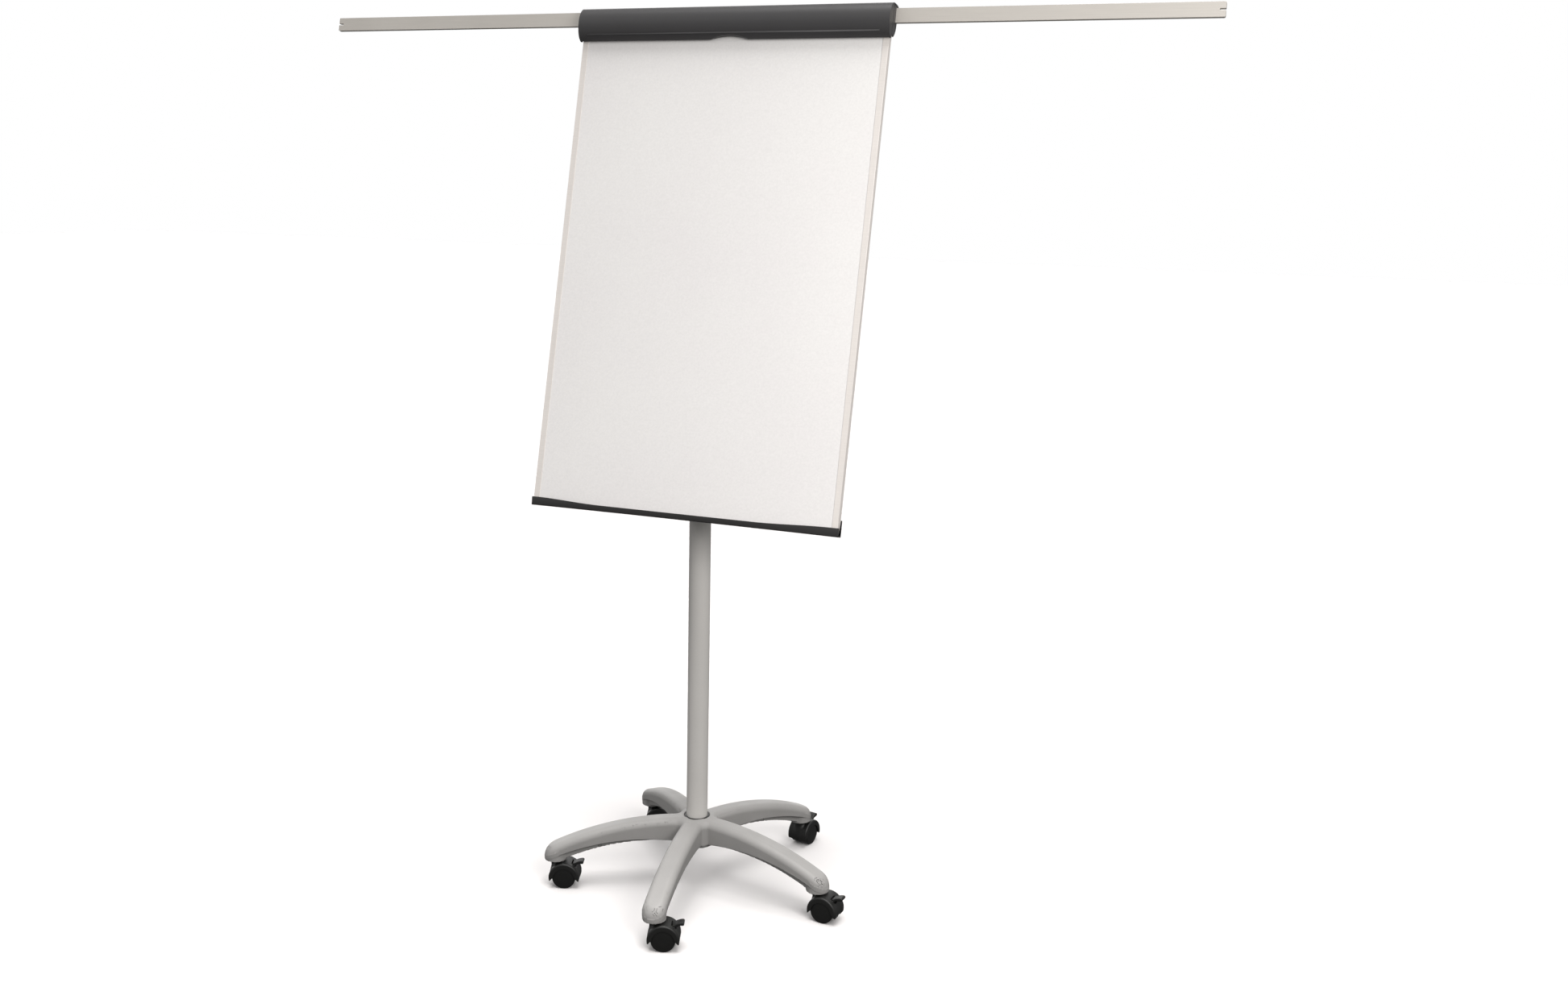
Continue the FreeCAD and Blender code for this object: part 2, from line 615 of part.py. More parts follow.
def make_wheel(side):
    """One wheel of a pair, with a rounded tread; side is +1 or -1."""
    radius = WHEEL_DIAMETER / 2
    bore = AXLE_DIAMETER / 2 + RUNNING_GAP
    inner = wheel_gap_side()
    outer = inner + WHEEL_WIDTH
    crown = WHEEL_CROWN
    edges = [
        (V(bore, inner, 0), V(radius - crown, inner, 0)),
        (V(radius - crown, inner, 0), V(radius - crown * 0.3, inner + crown * 0.3, 0),
         V(radius, inner + crown, 0)),
        (V(radius, inner + crown, 0), V(radius, outer - crown, 0)),
        (V(radius, outer - crown, 0), V(radius - crown * 0.3, outer - crown * 0.3, 0),
         V(radius - crown, outer, 0)),
        (V(radius - crown, outer, 0), V(bore, outer, 0)),
        (V(bore, outer, 0), V(bore, inner, 0)),
    ]
    wheel = outline(edges).revolve(V(0, 0, 0), V(0, 1, 0), 360)
    if side < 0:
        wheel = wheel.mirror(V(0, 0, 0), V(0, 1, 0))
    return moved(wheel, x=CASTOR_TRAIL, z=AXLE_HEIGHT)


def along_axle(radius, half):
    """Cylinder about the axle, from -half to +half across the castor."""
    centre = V(CASTOR_TRAIL, 0, AXLE_HEIGHT)
    return rod(radius, centre.add(V(0, -half, 0)), centre.add(V(0, half, 0)))


def make_hood():
    """Castor body: arched hood, middle wall with the axle's hole, and boss for the stem."""
    half = hood_half_width()
    wheel_room = WHEEL_DIAMETER / 2 + HOOD_WHEEL_ROOM
    shell = along_axle(HOOD_RADIUS, half).cut(along_axle(HOOD_RADIUS - HOOD_SHELL, half))
    wide = 2 * HOOD_RADIUS
    skirt = AXLE_HEIGHT - HOOD_SKIRT
    below = box(CASTOR_TRAIL - wide, CASTOR_TRAIL + wide, -wide, wide, -wide, skirt)
    shell = shell.cut(below)
    side_outer = along_axle(HOOD_RADIUS, half)
    side_inner = along_axle(HOOD_RADIUS, half - HOOD_SIDE_WALL)
    window = moved(along_axle(WHEEL_DIAMETER / 2 - HOOD_WINDOW_IN, half), z=-HOOD_WINDOW_DROP)
    sides = side_outer.cut(side_inner).cut(window).cut(below)
    web = along_axle(HOOD_RADIUS - LEVER_PIVOT_IN, CASTOR_WEB / 2)
    web_skirt = AXLE_HEIGHT - HOOD_WEB_SKIRT
    web = web.cut(box(CASTOR_TRAIL - wide, CASTOR_TRAIL + wide, -wide, wide, -wide, web_skirt))
    boss_radius = STEM_DIAMETER / 2 + HOOD_BOSS_WALL
    boss_top = SOCKET_RIM_HEIGHT - STEM_FLANGE_THICKNESS - HOOD_BOSS_GAP
    boss = rod(boss_radius, V(0, 0, hood_boss_foot() - HOOD_BOSS_FLOOR), V(0, 0, boss_top))
    hood = fuse([shell, sides, web, boss])
    rooms = along_axle(wheel_room, half - HOOD_SIDE_WALL).cut(along_axle(wheel_room, CASTOR_WEB / 2))
    hood = hood.cut(rooms)
    hood = hood.cut(rod(STEM_DIAMETER / 2 + RUNNING_GAP, V(0, 0, hood_boss_foot()),
                        V(0, 0, SOCKET_RIM_HEIGHT)))
    hood = hood.cut(along_axle(AXLE_DIAMETER / 2, half))
    pivot = lever_pivot()
    slot_half = LEVER_WIDTH / 2 + MOVING_GAP
    slot_room = LEVER_THICKNESS / 2 + MOVING_GAP
    slot = rod(slot_room, V(pivot.x, -slot_half, pivot.z), V(pivot.x, slot_half, pivot.z))
    sweep = box(0, wide, -slot_half, slot_half, -slot_room, slot_room)
    sweeps = [slot]
    for share in (0.0, 0.5, 1.0):
        angle = LEVER_PRESS_ANGLE * share - LEVER_REST_ANGLE
        sweeps.append(moved(turned(sweep, angle, axis=V(0, 1, 0)), pivot.x, 0, pivot.z))
    hood = hood.cut(fuse(sweeps))
    pin_half = lever_pin_half()
    ears = [lever_ear(side) for side in (-1, 1)]
    hood = fuse([hood] + ears)
    return hood.cut(rod(LEVER_PIN_DIAMETER / 2, V(pivot.x, -pin_half, pivot.z),
                        V(pivot.x, pin_half, pivot.z)))


def lever_ear(side):
    """Cheek beside the brake lever that holds one end of its pin."""
    pivot = lever_pivot()
    start = side * (LEVER_WIDTH / 2 + MOVING_GAP)
    end = side * (lever_pin_half())
    return rod(LEVER_THICKNESS / 2, V(pivot.x, start, pivot.z), V(pivot.x, end, pivot.z))


def lever_pin_half():
    """Half length of the brake lever's pin."""
    return LEVER_WIDTH / 2 + MOVING_GAP + LEVER_EAR


def make_castor_pins():
    """Axle of the two wheels and pin of the brake lever."""
    half = hood_half_width()
    axle = along_axle(AXLE_DIAMETER / 2, half - HOOD_SIDE_WALL - AXLE_END_GAP)
    pivot = lever_pivot()
    pin_half = lever_pin_half()
    pin = rod(LEVER_PIN_DIAMETER / 2, V(pivot.x, -pin_half, pivot.z), V(pivot.x, pin_half, pivot.z))
    return group([axle, pin])


def make_brake_lever():
    """Foot lever: barrel on the pin and a tongue that points away from the stem."""
    pivot = lever_pivot()
    half = LEVER_WIDTH / 2
    radius = LEVER_THICKNESS / 2
    barrel = rod(radius, V(0, -half, 0), V(0, half, 0))
    thin = radius * LEVER_TONGUE_SHARE
    tongue = box(0, LEVER_REACH, -half, half, -thin, thin)
    tip = rod(radius * LEVER_TIP_SHARE, V(LEVER_REACH, -half, 0), V(LEVER_REACH, half, 0))
    lever = fuse([barrel, tongue, tip])
    lever = lever.cut(rod(LEVER_PIN_DIAMETER / 2 + RUNNING_GAP, V(0, -half, 0), V(0, half, 0)))
    return moved(turned(lever, -LEVER_REST_ANGLE, axis=V(0, 1, 0)), pivot.x, 0, pivot.z)


def castor_nodes():
    """All pieces of the five castors, each turned to its own heading."""
    pieces = {
        "hood": make_hood(),
        "pins": make_castor_pins(),
        "wheel_left": make_wheel(1),
        "wheel_right": make_wheel(-1),
        "brake_lever": make_brake_lever(),
    }
    nodes = {}
    for (castor, heading), place in zip(CASTOR_HEADINGS.items(), stem_places()):
        for piece, shape in pieces.items():
            nodes[castor + "_" + piece] = moved(turned(shape, heading), place.x, place.y)
    return nodes


# ---------------------------------------------------------------- mast
def make_outer_tube():
    """Lower tube of the mast, with the hole for the clamp's stud."""
    outer = OUTER_TUBE_DIAMETER / 2
    body = tube(outer, OUTER_BORE_RADIUS, V(0, 0, TUBE_FOOT), V(0, 0, OUTER_TUBE_TOP))
    return body.cut(stud_hole())


def stud_level():
    """Height of the clamp's stud."""
    return COLLAR_TOP - COLLAR_HEIGHT / 2


def stud_hole():
    """Room for the clamp's stud, from the bush out through the collar."""
    level = stud_level()
    return rod(KNOB_STUD_DIAMETER / 2 + RUNNING_GAP, V(0, INNER_RADIUS, level),
               V(0, 2 * COLLAR_RADIUS, level))


def make_mast_foot():
    """Threaded plug welded into the bottom of the lower tube."""
    top = V(0, 0, TUBE_FOOT + MAST_FOOT_HEIGHT)
    return tube(OUTER_BORE_RADIUS, MAST_BOLT_DIAMETER / 2, V(0, 0, TUBE_FOOT), top)


def make_mast_bolt():
    """Bolt and washer that pull the lower tube down into the hub."""
    washer_top = HUB_FOOT_HEIGHT
    washer_foot = washer_top - WASHER_THICKNESS
    hole = MAST_BOLT_DIAMETER / 2
    washer = tube(2 * hole + WASHER_RIM, hole, V(0, 0, washer_foot), V(0, 0, washer_top))
    corner = hole * MAST_BOLT_CORNERS
    corners = [turned(Part.Vertex(V(corner, 0, 0)), 60.0 * i).Point for i in range(6)]
    head = moved(polygon(corners), z=washer_foot - MAST_BOLT_HEAD).extrude(V(0, 0, MAST_BOLT_HEAD))
    tip = TUBE_FOOT + MAST_FOOT_HEIGHT - MAST_BOLT_SHORT
    shank = rod(hole, V(0, 0, washer_foot), V(0, 0, tip))
    return group([fuse([head, shank]), washer])


def make_guide_bush():
    """Plastic bush in the top of the lower tube, with a rib that keys the inner tube."""
    bore = INNER_RADIUS + RUNNING_GAP
    foot = OUTER_TUBE_TOP - BUSH_LENGTH
    body = tube(OUTER_BORE_RADIUS, bore, V(0, 0, foot), V(0, 0, OUTER_TUBE_TOP))
    flange = tube(OUTER_TUBE_DIAMETER / 2, bore, V(0, 0, OUTER_TUBE_TOP), V(0, 0, COLLAR_TOP))
    reach = INNER_RADIUS - KEY_DEPTH + KEY_GAP
    half = KEY_WIDTH / 2 - KEY_GAP
    rib = box(-half, half, -OUTER_BORE_RADIUS + BUSH_RIB_ROOT, -reach, foot, COLLAR_TOP)
    return fuse([body, flange, rib]).cut(stud_hole())


def make_clamp_collar():
    """Moulded collar on the top of the lower tube, with a nut boss at the back for the knob."""
    foot = COLLAR_TOP - COLLAR_HEIGHT
    body = rod(COLLAR_RADIUS, V(0, 0, foot), V(0, 0, COLLAR_TOP))
    reach = COLLAR_RADIUS + COLLAR_BOSS_REACH
    boss = rod(COLLAR_BOSS_RADIUS, V(0, 0, stud_level()), V(0, reach, stud_level()))
    body = fuse([body, boss])
    rims = [edge for edge in body.Edges if edge.BoundBox.ZLength < 0.01]
    round_rims = [edge for edge in rims if edge.BoundBox.XLength > 1.9 * COLLAR_RADIUS]
    body = body.makeFillet(COLLAR_ROUND, round_rims)
    body = body.cut(rod(OUTER_TUBE_DIAMETER / 2, V(0, 0, 0), V(0, 0, COLLAR_TOP)))
    return body.cut(stud_hole())


def knob_foot_y():
    """Place of the knob's front face behind the mast axis."""
    return COLLAR_RADIUS + COLLAR_BOSS_REACH + KNOB_GAP


def knob_ring(radius, reach, phase):
    """Upright rods spaced evenly round the knob's axis."""
    step = 360.0 / KNOB_LOBES
    one = rod(radius, V(reach, 0, 0), V(reach, 0, KNOB_THICKNESS))
    return [turned(one, step * (i + phase)) for i in range(KNOB_LOBES)]


def make_knob():
    """Five-lobed clamping knob behind the collar."""
    radius = KNOB_DIAMETER / 2
    core = rod(radius - KNOB_CORE_IN, V(0, 0, 0), V(0, 0, KNOB_THICKNESS))
    neck = rod(KNOB_NECK_RADIUS, V(0, 0, MOVING_GAP - KNOB_GAP), V(0, 0, KNOB_GAP))
    body = fuse([core] + knob_ring(KNOB_LOBE_RADIUS, radius - KNOB_LOBE_RADIUS, 0.0))
    for scoop in knob_ring(KNOB_SCOOP_RADIUS, radius + KNOB_SCOOP_OUT, 0.5):
        body = body.cut(scoop)
    body = fuse([body, neck])
    hole = rod(KNOB_STUD_DIAMETER / 2, V(0, 0, -KNOB_GAP), V(0, 0, KNOB_THICKNESS - KNOB_FACE))
    body = turned(body.cut(hole), -90.0, axis=V(1, 0, 0))
    return moved(body, y=knob_foot_y(), z=stud_level())


def make_knob_stud():
    """Threaded stud moulded into the knob, ending just short of the inner tube."""
    start = V(0, INNER_RADIUS + STUD_SHORT, stud_level())
    end = V(0, knob_foot_y() + KNOB_THICKNESS - KNOB_FACE, stud_level())
    return rod(KNOB_STUD_DIAMETER / 2, start, end)


def bracket_top():
    """Top of the inner tube and of its bracket: where the board's spine nears the tube."""
    room = TRAY_LINE_FORWARD - SPINE_BACK / math.cos(LEAN) - INNER_RADIUS - BRACKET_SPINE_GAP
    return TRAY_LINE_HEIGHT + room / math.tan(LEAN)


def make_inner_tube():
    """Upper tube of the mast, with a shallow key groove along its front."""
    top = bracket_top()
    body = tube(INNER_RADIUS, INNER_RADIUS - INNER_TUBE_WALL, V(0, 0, INNER_TUBE_FOOT), V(0, 0, top))
    half = KEY_WIDTH / 2
    groove = box(-half, half, -INNER_RADIUS - 1, -INNER_RADIUS + KEY_DEPTH, 0, top + 1)
    body = body.cut(groove)
    for level in bracket_bolt_levels():
        body = body.cut(bracket_bolt_hole(level))
    return body


def make_tube_glide():
    """Plastic foot ring of the inner tube, which runs in the lower tube's bore."""
    foot = INNER_TUBE_FOOT
    outer = OUTER_BORE_RADIUS - RUNNING_GAP
    skirt = tube(outer, INNER_RADIUS, V(0, 0, foot), V(0, 0, foot + GLIDE_SKIRT))
    floor = rod(outer, V(0, 0, foot - GLIDE_FLOOR), V(0, 0, foot))
    return fuse([skirt, floor])


def make_tube_cap():
    """Plug in the open top of the inner tube."""
    top = bracket_top()
    stem = rod(INNER_RADIUS - INNER_TUBE_WALL, V(0, 0, top - TUBE_CAP_STEM), V(0, 0, top))
    lid = rod(INNER_RADIUS, V(0, 0, top), V(0, 0, top + TUBE_CAP_LID))
    return fuse([stem, lid])


def bracket_bolt_levels():
    """Heights of the two bolts through the inner tube."""
    top = bracket_top()
    return (top - BRACKET_BOLT_INSET, top - BRACKET_HEIGHT + BRACKET_BOLT_INSET)


def bracket_bolt_hole(level):
    """Room for a bolt across the inner tube and its bracket."""
    return rod(BRACKET_BOLT_DIAMETER / 2, V(-SPINE_WIDTH, 0, level), V(SPINE_WIDTH, 0, level))


def bracket_ends():
    """Heights above the floor of the bracket's lower and upper end."""
    top = bracket_top()
    return (top - BRACKET_HEIGHT + BRACKET_FOOT_IN, top - BRACKET_TOP_IN)


def plate_band():
    """Board-space heights between which the bracket's plate lies."""
    return tuple((level - TRAY_LINE_HEIGHT) / math.cos(LEAN) for level in bracket_ends())


def spine_back_y(level):
    """Where the back face of the board's spine is at a height above the floor."""
    return (level - TRAY_LINE_HEIGHT) * math.tan(LEAN) + SPINE_BACK / math.cos(LEAN) - TRAY_LINE_FORWARD


def make_head_bracket():
    """Folded steel bracket: two cheeks beside the inner tube and a plate against the spine."""
    foot, top = bracket_ends()
    rear = INNER_RADIUS - BRACKET_TOP_IN
    side = [V(0, spine_back_y(foot), foot), V(0, spine_back_y(top), top), V(0, rear, top),
            V(0, rear, foot + BRACKET_HEEL), V(0, BRACKET_FOOT_IN, foot)]
    inner = INNER_RADIUS + BRACKET_TUBE_GAP
    cheeks = []
    for start in (inner, -inner - BRACKET_PLATE):
        cheeks.append(moved(polygon(side), x=start).extrude(V(BRACKET_PLATE, 0, 0)))
    half = SPINE_WIDTH / 2 + BRACKET_WING
    low, high = plate_band()
    plate = box(-half, half, SPINE_BACK, SPINE_BACK + BRACKET_PLATE, low, high).cut(screw_holes())
    bracket = fuse([on_board(plate)] + cheeks)
    bracket = bracket.cut(rod(inner, V(0, 0, 0), V(0, 0, 2 * top)))
    for level in bracket_bolt_levels():
        bracket = bracket.cut(bracket_bolt_hole(level))
    return bracket


def make_bracket_bolts():
    """Two cross bolts with heads and nuts outside the bracket's cheeks."""
    reach = INNER_RADIUS + BRACKET_TUBE_GAP + BRACKET_PLATE
    radius = BRACKET_BOLT_DIAMETER / 2
    wide = radius * BRACKET_BOLT_HEAD_SHARE
    bolts = []
    for level in bracket_bolt_levels():
        shank = rod(radius, V(-reach, 0, level), V(reach + BRACKET_BOLT_END, 0, level))
        head = rod(wide, V(-reach - BRACKET_BOLT_HEAD, 0, level), V(-reach, 0, level))
        nut = rod(wide, V(reach, 0, level), V(reach + BRACKET_BOLT_NUT, 0, level))
        bolts.append(fuse([shank, head]))
        bolts.append(nut.cut(shank))
    return group(bolts)


# ---------------------------------------------------------------- board
def make_board_core():
    """Fibreboard core."""
    edge = HALF_BOARD - PROFILE_WALL
    near = SHEET_THICKNESS
    core = box(-edge, edge, near, near + CORE_THICKNESS, -BOARD_TUCK, RAIL_FOOT)
    return on_board(core.cut(screw_holes()))


def make_writing_sheet():
    """Enamelled steel sheet on the front."""
    edge = HALF_BOARD - PROFILE_WALL
    return on_board(box(-edge, edge, 0, SHEET_THICKNESS, -BOARD_TUCK, RAIL_FOOT))


def make_back_sheet():
    """Plain backing sheet."""
    edge = HALF_BOARD - PROFILE_WALL
    far = BOARD_THICKNESS
    sheet = box(-edge, edge, far - SHEET_THICKNESS, far, -BOARD_TUCK, RAIL_FOOT)
    return on_board(sheet.cut(screw_holes()))


def make_side_profiles():
    """Aluminium U profiles along the board's two long edges."""
    outer = box(HALF_BOARD - PROFILE_FACE, HALF_BOARD, -PROFILE_WALL, BOARD_THICKNESS + PROFILE_WALL,
                -BOARD_TUCK, RAIL_FOOT)
    room = box(0, HALF_BOARD - PROFILE_WALL, 0, BOARD_THICKNESS, -2 * BOARD_TUCK, 2 * RAIL_FOOT)
    right = outer.cut(room)
    corners = [edge for edge in right.Edges
               if edge.BoundBox.ZLength > RAIL_FOOT and edge.BoundBox.XMin > HALF_BOARD - PROFILE_WALL / 2]
    right = right.makeFillet(PROFILE_ROUND, corners)
    return on_board(group([right, mirrored(right)]))


def make_spine():
    """Hat channel down the middle of the board's back; the mast's bracket holds it."""
    foot = SPINE_FOOT
    top = RAIL_FOOT - SPINE_TOP_GAP
    half = SPINE_WIDTH / 2
    near = BOARD_THICKNESS
    outer = box(-half, half, near, SPINE_BACK, foot, top)
    room = box(-half + SPINE_WALL, half - SPINE_WALL, 0, SPINE_BACK - SPINE_WALL, 0, RAIL_FOOT)
    right = box(half, half + SPINE_FLANGE, near, near + SPINE_WALL, foot, top)
    channel = fuse([outer.cut(room), right, mirrored(right)])
    return on_board(channel.cut(screw_holes()))


def board_space_screws():
    """Pan-head screws in board space: spine to board, bracket to spine, tray and rail to board."""
    screws = []
    flange_x = (SPINE_WIDTH + SPINE_FLANGE) / 2
    pitch = (RAIL_FOOT - SPINE_SCREW_FOOT - SPINE_SCREW_END) / (SPINE_SCREW_ROWS - 1)
    for i in range(SPINE_SCREW_ROWS):
        for x in (-flange_x, flange_x):
            height = SPINE_SCREW_FOOT + i * pitch
            screws.append(panhead(x, BOARD_THICKNESS + SPINE_WALL, height, SPINE_SCREW_GRIP))
    low, high = plate_band()
    web_x = SPINE_WIDTH / 2 - BRACKET_SCREW_SIDE
    grip = BRACKET_PLATE + SPINE_WALL
    for height in (low + BRACKET_SCREW_END, high - BRACKET_SCREW_END):
        for x in (-web_x, web_x):
            screws.append(panhead(x, SPINE_BACK + BRACKET_PLATE, height, grip))
    rail_level = RAIL_FOOT - RAIL_SCREW_DROP
    for share in EDGE_SCREW_SHARES:
        x = share * HALF_BOARD
        screws.append(panhead(x, BOARD_THICKNESS + TRAY_WALL, TRAY_SCREW_LEVEL, EDGE_SCREW_GRIP))
        screws.append(panhead(x, BOARD_THICKNESS + RAIL_WALL, rail_level, EDGE_SCREW_GRIP))
    return screws


def make_board_screws():
    """All the screws that hold pieces to the board."""
    return on_board(group(board_space_screws()))


def panhead(x, depth, height, length):
    """Screw whose head seats at a depth behind the writing face."""
    shank = rod(SCREW_DIAMETER / 2, V(x, depth - length, height), V(x, depth, height))
    head = rod(SCREW_DIAMETER, V(x, depth, height), V(x, depth + SCREW_HEAD, height))
    return fuse([shank, head])


def screw_holes():
    """Room for every board screw, in board space."""
    return group(board_space_screws())


# ---------------------------------------------------------------- pen tray
def tray_half():
    """Half of the tray's length."""
    return HALF_BOARD + TRAY_OVERHANG


def tray_region(inset):
    """Plan of the tray in board space: straight at the back, one arc at the front."""
    half = tray_half() - inset
    back = BOARD_THICKNESS + TRAY_WALL
    end = -TRAY_END_DEPTH + inset
    middle = -TRAY_DEPTH + inset
    corners = [V(-half, back, 0), V(half, back, 0), V(half, end, 0), V(-half, end, 0)]
    front = (corners[2], V(0, middle, 0), corners[3])
    return outline([(corners[0], corners[1]), (corners[1], corners[2]), front, (corners[3], corners[0])])


def lip_dip(side):
    """Curve of the lip from its tall end down to its middle level, in the x-z plane."""
    reach = tray_half() - TRAY_END_LENGTH
    near = reach + TRAY_RISE_SHARE * TRAY_END_LENGTH
    knee = V(side * (reach + TRAY_RISE_KNEE), 0, -TRAY_KNEE_SHARE * TRAY_LIP_DROP)
    return (V(side * near, 0, 0), knee, V(side * (reach - TRAY_RISE_TOE), 0, -TRAY_LIP_DROP))


def make_pen_tray():
    """Trough along the board's foot with a bowed lip and taller ends."""
    foot = -TRAY_END_HEIGHT
    half = tray_half()
    high = 2 * TRAY_END_HEIGHT
    body = moved(tray_region(0.0).extrude(V(0, 0, -foot)), z=foot)
    trough = moved(tray_region(TRAY_WALL).extrude(V(0, 0, 2 * high)), z=foot + TRAY_FLOOR)
    trough = trough.common(box(-half, half, -BEYOND, 0, foot, high))
    slot = box(-HALF_BOARD, HALF_BOARD, -PROFILE_WALL, BOARD_THICKNESS + PROFILE_WALL, -BOARD_TUCK, high)
    body = body.cut(trough).cut(slot)
    edge = HALF_BOARD - PROFILE_FACE
    back_wall = box(-edge, edge, BOARD_THICKNESS, BOARD_THICKNESS + TRAY_WALL, foot, TRAY_FLANGE_HEIGHT)
    body = fuse([body, back_wall])
    right, left = lip_dip(1), lip_dip(-1)
    corners = [left[0], V(left[0].x, 0, high), V(right[0].x, 0, high), right[0]]
    cut_face = outline([right, (right[2], left[2]), left] + list(zip(corners, corners[1:])))
    dip = moved(cut_face, y=-2 * TRAY_DEPTH).extrude(V(0, 2 * TRAY_DEPTH - PROFILE_WALL, 0))
    arch = (V(-half, 0, foot), V(0, 0, foot + TRAY_BELLY), V(half, 0, foot))
    corners = [arch[2], V(half, 0, -high), V(-half, 0, -high), arch[0]]
    belly_face = outline([arch] + list(zip(corners, corners[1:])))
    belly = moved(belly_face, y=-2 * TRAY_DEPTH).extrude(V(0, 4 * TRAY_DEPTH, 0))
    return on_board(body.cut(dip).cut(belly).cut(screw_holes()))


# ---------------------------------------------------------------- head
def make_head_rail():
    """Aluminium rail on the board's top edge: two arm lanes above a peg track."""
    half = HALF_BOARD
    rail = box(-half, half, 0, RAIL_DEPTH, RAIL_FOOT, RAIL_TOP)
    for lane in (FRONT_LANE, REAR_LANE):
        rail = rail.cut(box(-half, half, lane, lane + LANE_WIDTH, LANE_FOOT, LANE_FOOT + LANE_HEIGHT))
    chamber_top = RAIL_FOOT + RAIL_PEG_CHAMBER
    far = RAIL_DEPTH - RAIL_WALL
    back_room = box(-half, half, RAIL_ROOM_NEAR, far, RAIL_FOOT + RAIL_WALL, chamber_top)
    neck = PEG_NECK_DIAMETER / 2 + PEG_TRACK_GAP
    head = peg_head_half() + PEG_TRACK_GAP
    track = box(-half, half, RAIL_WALL, RAIL_WALL + PEG_TRACK_DEPTH, PEG_LEVEL - head, PEG_LEVEL + head)
    mouth = box(-half, half, 0, RAIL_WALL, PEG_LEVEL - neck, PEG_LEVEL + neck)
    rail = rail.cut(back_room).cut(track).cut(mouth)
    flange = box(-half + PROFILE_FACE, half - PROFILE_FACE, BOARD_THICKNESS, BOARD_THICKNESS + RAIL_WALL,
                 RAIL_FOOT - RAIL_FLANGE, RAIL_FOOT + RAIL_WALL)
    knuckles = [hinge_knuckle(x - HINGE_KNUCKLE / 2, x + HINGE_KNUCKLE / 2, True) for x in HINGE_STATIONS]
    rail = fuse([rail, flange] + knuckles)
    rail = rail.cut(hinge_bore(0.0))
    return on_board(rail.cut(screw_holes()))


def hinge_knuckle(x0, x1, fixed):
    """Hinge barrel between two places along the rail; a fixed one has a foot on the rail."""
    barrel = rod(HINGE_BARREL_RADIUS, V(x0, HINGE_DEPTH, HINGE_LEVEL), V(x1, HINGE_DEPTH, HINGE_LEVEL))
    if not fixed:
        return barrel
    near = RAIL_DEPTH - RAIL_WALL / 2
    foot = box(x0, x1, near, HINGE_DEPTH, HINGE_LEVEL - HINGE_BARREL_RADIUS, HINGE_LEVEL)
    return fuse([barrel, foot])


def hinge_bore(gap):
    """Hole for the hinge pins along the whole head."""
    radius = HINGE_PIN_DIAMETER / 2 + gap
    half = HALF_BOARD
    return rod(radius, V(-half, HINGE_DEPTH, HINGE_LEVEL), V(half, HINGE_DEPTH, HINGE_LEVEL))


def make_hinge_pins():
    """Three hinge pins; the outer two are longer, to carry the springs."""
    reach = HINGE_KNUCKLE / 2 + KNUCKLE_GAP + COVER_KNUCKLE
    long_reach = reach + SPRING_LENGTH + KNUCKLE_GAP
    pins = []
    for x in HINGE_STATIONS:
        start = x - (long_reach if x > 0 else reach)
        end = x + (long_reach if x < 0 else reach)
        pins.append(rod(HINGE_PIN_DIAMETER / 2, V(start, HINGE_DEPTH, HINGE_LEVEL),
                        V(end, HINGE_DEPTH, HINGE_LEVEL)))
    return on_board(group(pins))


def spring_places():
    """Start and end of the two closing springs along the hinge line."""
    start = HINGE_KNUCKLE / 2 + COVER_KNUCKLE + 2 * KNUCKLE_GAP
    left = HINGE_STATIONS[0] + start
    right = HINGE_STATIONS[-1] - start
    return ((left, left + SPRING_LENGTH), (right - SPRING_LENGTH, right))


def make_clamp_springs():
    """Two torsion springs on the hinge pins: one leg on the rail's back, one under the cover."""
    springs = []
    near = RAIL_DEPTH + SPRING_GAP
    far = near + SPRING_WIRE
    over_top = RAIL_TOP + SPRING_WIRE
    for x0, x1 in spring_places():
        start = V(x0, HINGE_DEPTH, HINGE_LEVEL)
        end = V(x1, HINGE_DEPTH, HINGE_LEVEL)
        bore = rod(HINGE_PIN_DIAMETER / 2 + SPRING_GAP, start, end)
        coil = rod(SPRING_RADIUS, start, end)
        down = box(x0, x0 + SPRING_WIRE, near, far, HINGE_LEVEL - SPRING_LEG_DOWN, HINGE_LEVEL)
        up = box(x1 - SPRING_WIRE, x1, near, far, HINGE_LEVEL, over_top)
        over = box(x1 - SPRING_WIRE, x1, RAIL_DEPTH - SPRING_LEG_OVER, near, RAIL_TOP + RUNNING_GAP, over_top)
        springs.append(fuse([coil, down, up, over]).cut(bore))
    return on_board(group(springs))


def cover_outline(inset):
    """Cross-section of the clamp cover in the y-z plane, drawn in by the wall for its inside."""
    front = -COVER_FRONT + inset
    top = COVER_TOP - inset
    rear = HINGE_DEPTH + HINGE_BARREL_RADIUS - inset
    bend = COVER_BEND - inset
    lip_front = V(0, -COVER_LIP_DEPTH - COVER_LIP_OUT + inset, COVER_LIP)
    belly = V(0, -COVER_LIP_DEPTH - COVER_BELLY_OUT + inset, COVER_LIP + COVER_BELLY_RISE)
    bulge = V(0, front, COVER_LIP + COVER_BULGE_HEIGHT)
    shoulder = V(0, front + COVER_SHOULDER_IN, top - COVER_SHOULDER_DROP)
    crown = V(0, -COVER_CROWN_DEPTH, top)
    back_top = V(0, rear - bend, top)
    back_mid = V(0, rear - 0.3 * bend, top - 0.3 * bend)
    back_low = V(0, rear, top - bend)
    back_end = V(0, rear, HINGE_LEVEL)
    inner_top = V(0, COVER_CROWN_DEPTH, HINGE_LEVEL)
    inner_foot = V(0, COVER_CROWN_DEPTH, COVER_LIP)
    return outline([
        (lip_front, belly, bulge),
        (bulge, shoulder, crown),
        (crown, back_top),
        (back_top, back_mid, back_low),
        (back_low, back_end),
        (back_end, inner_top),
        (inner_top, inner_foot),
        (inner_foot, lip_front),
    ])


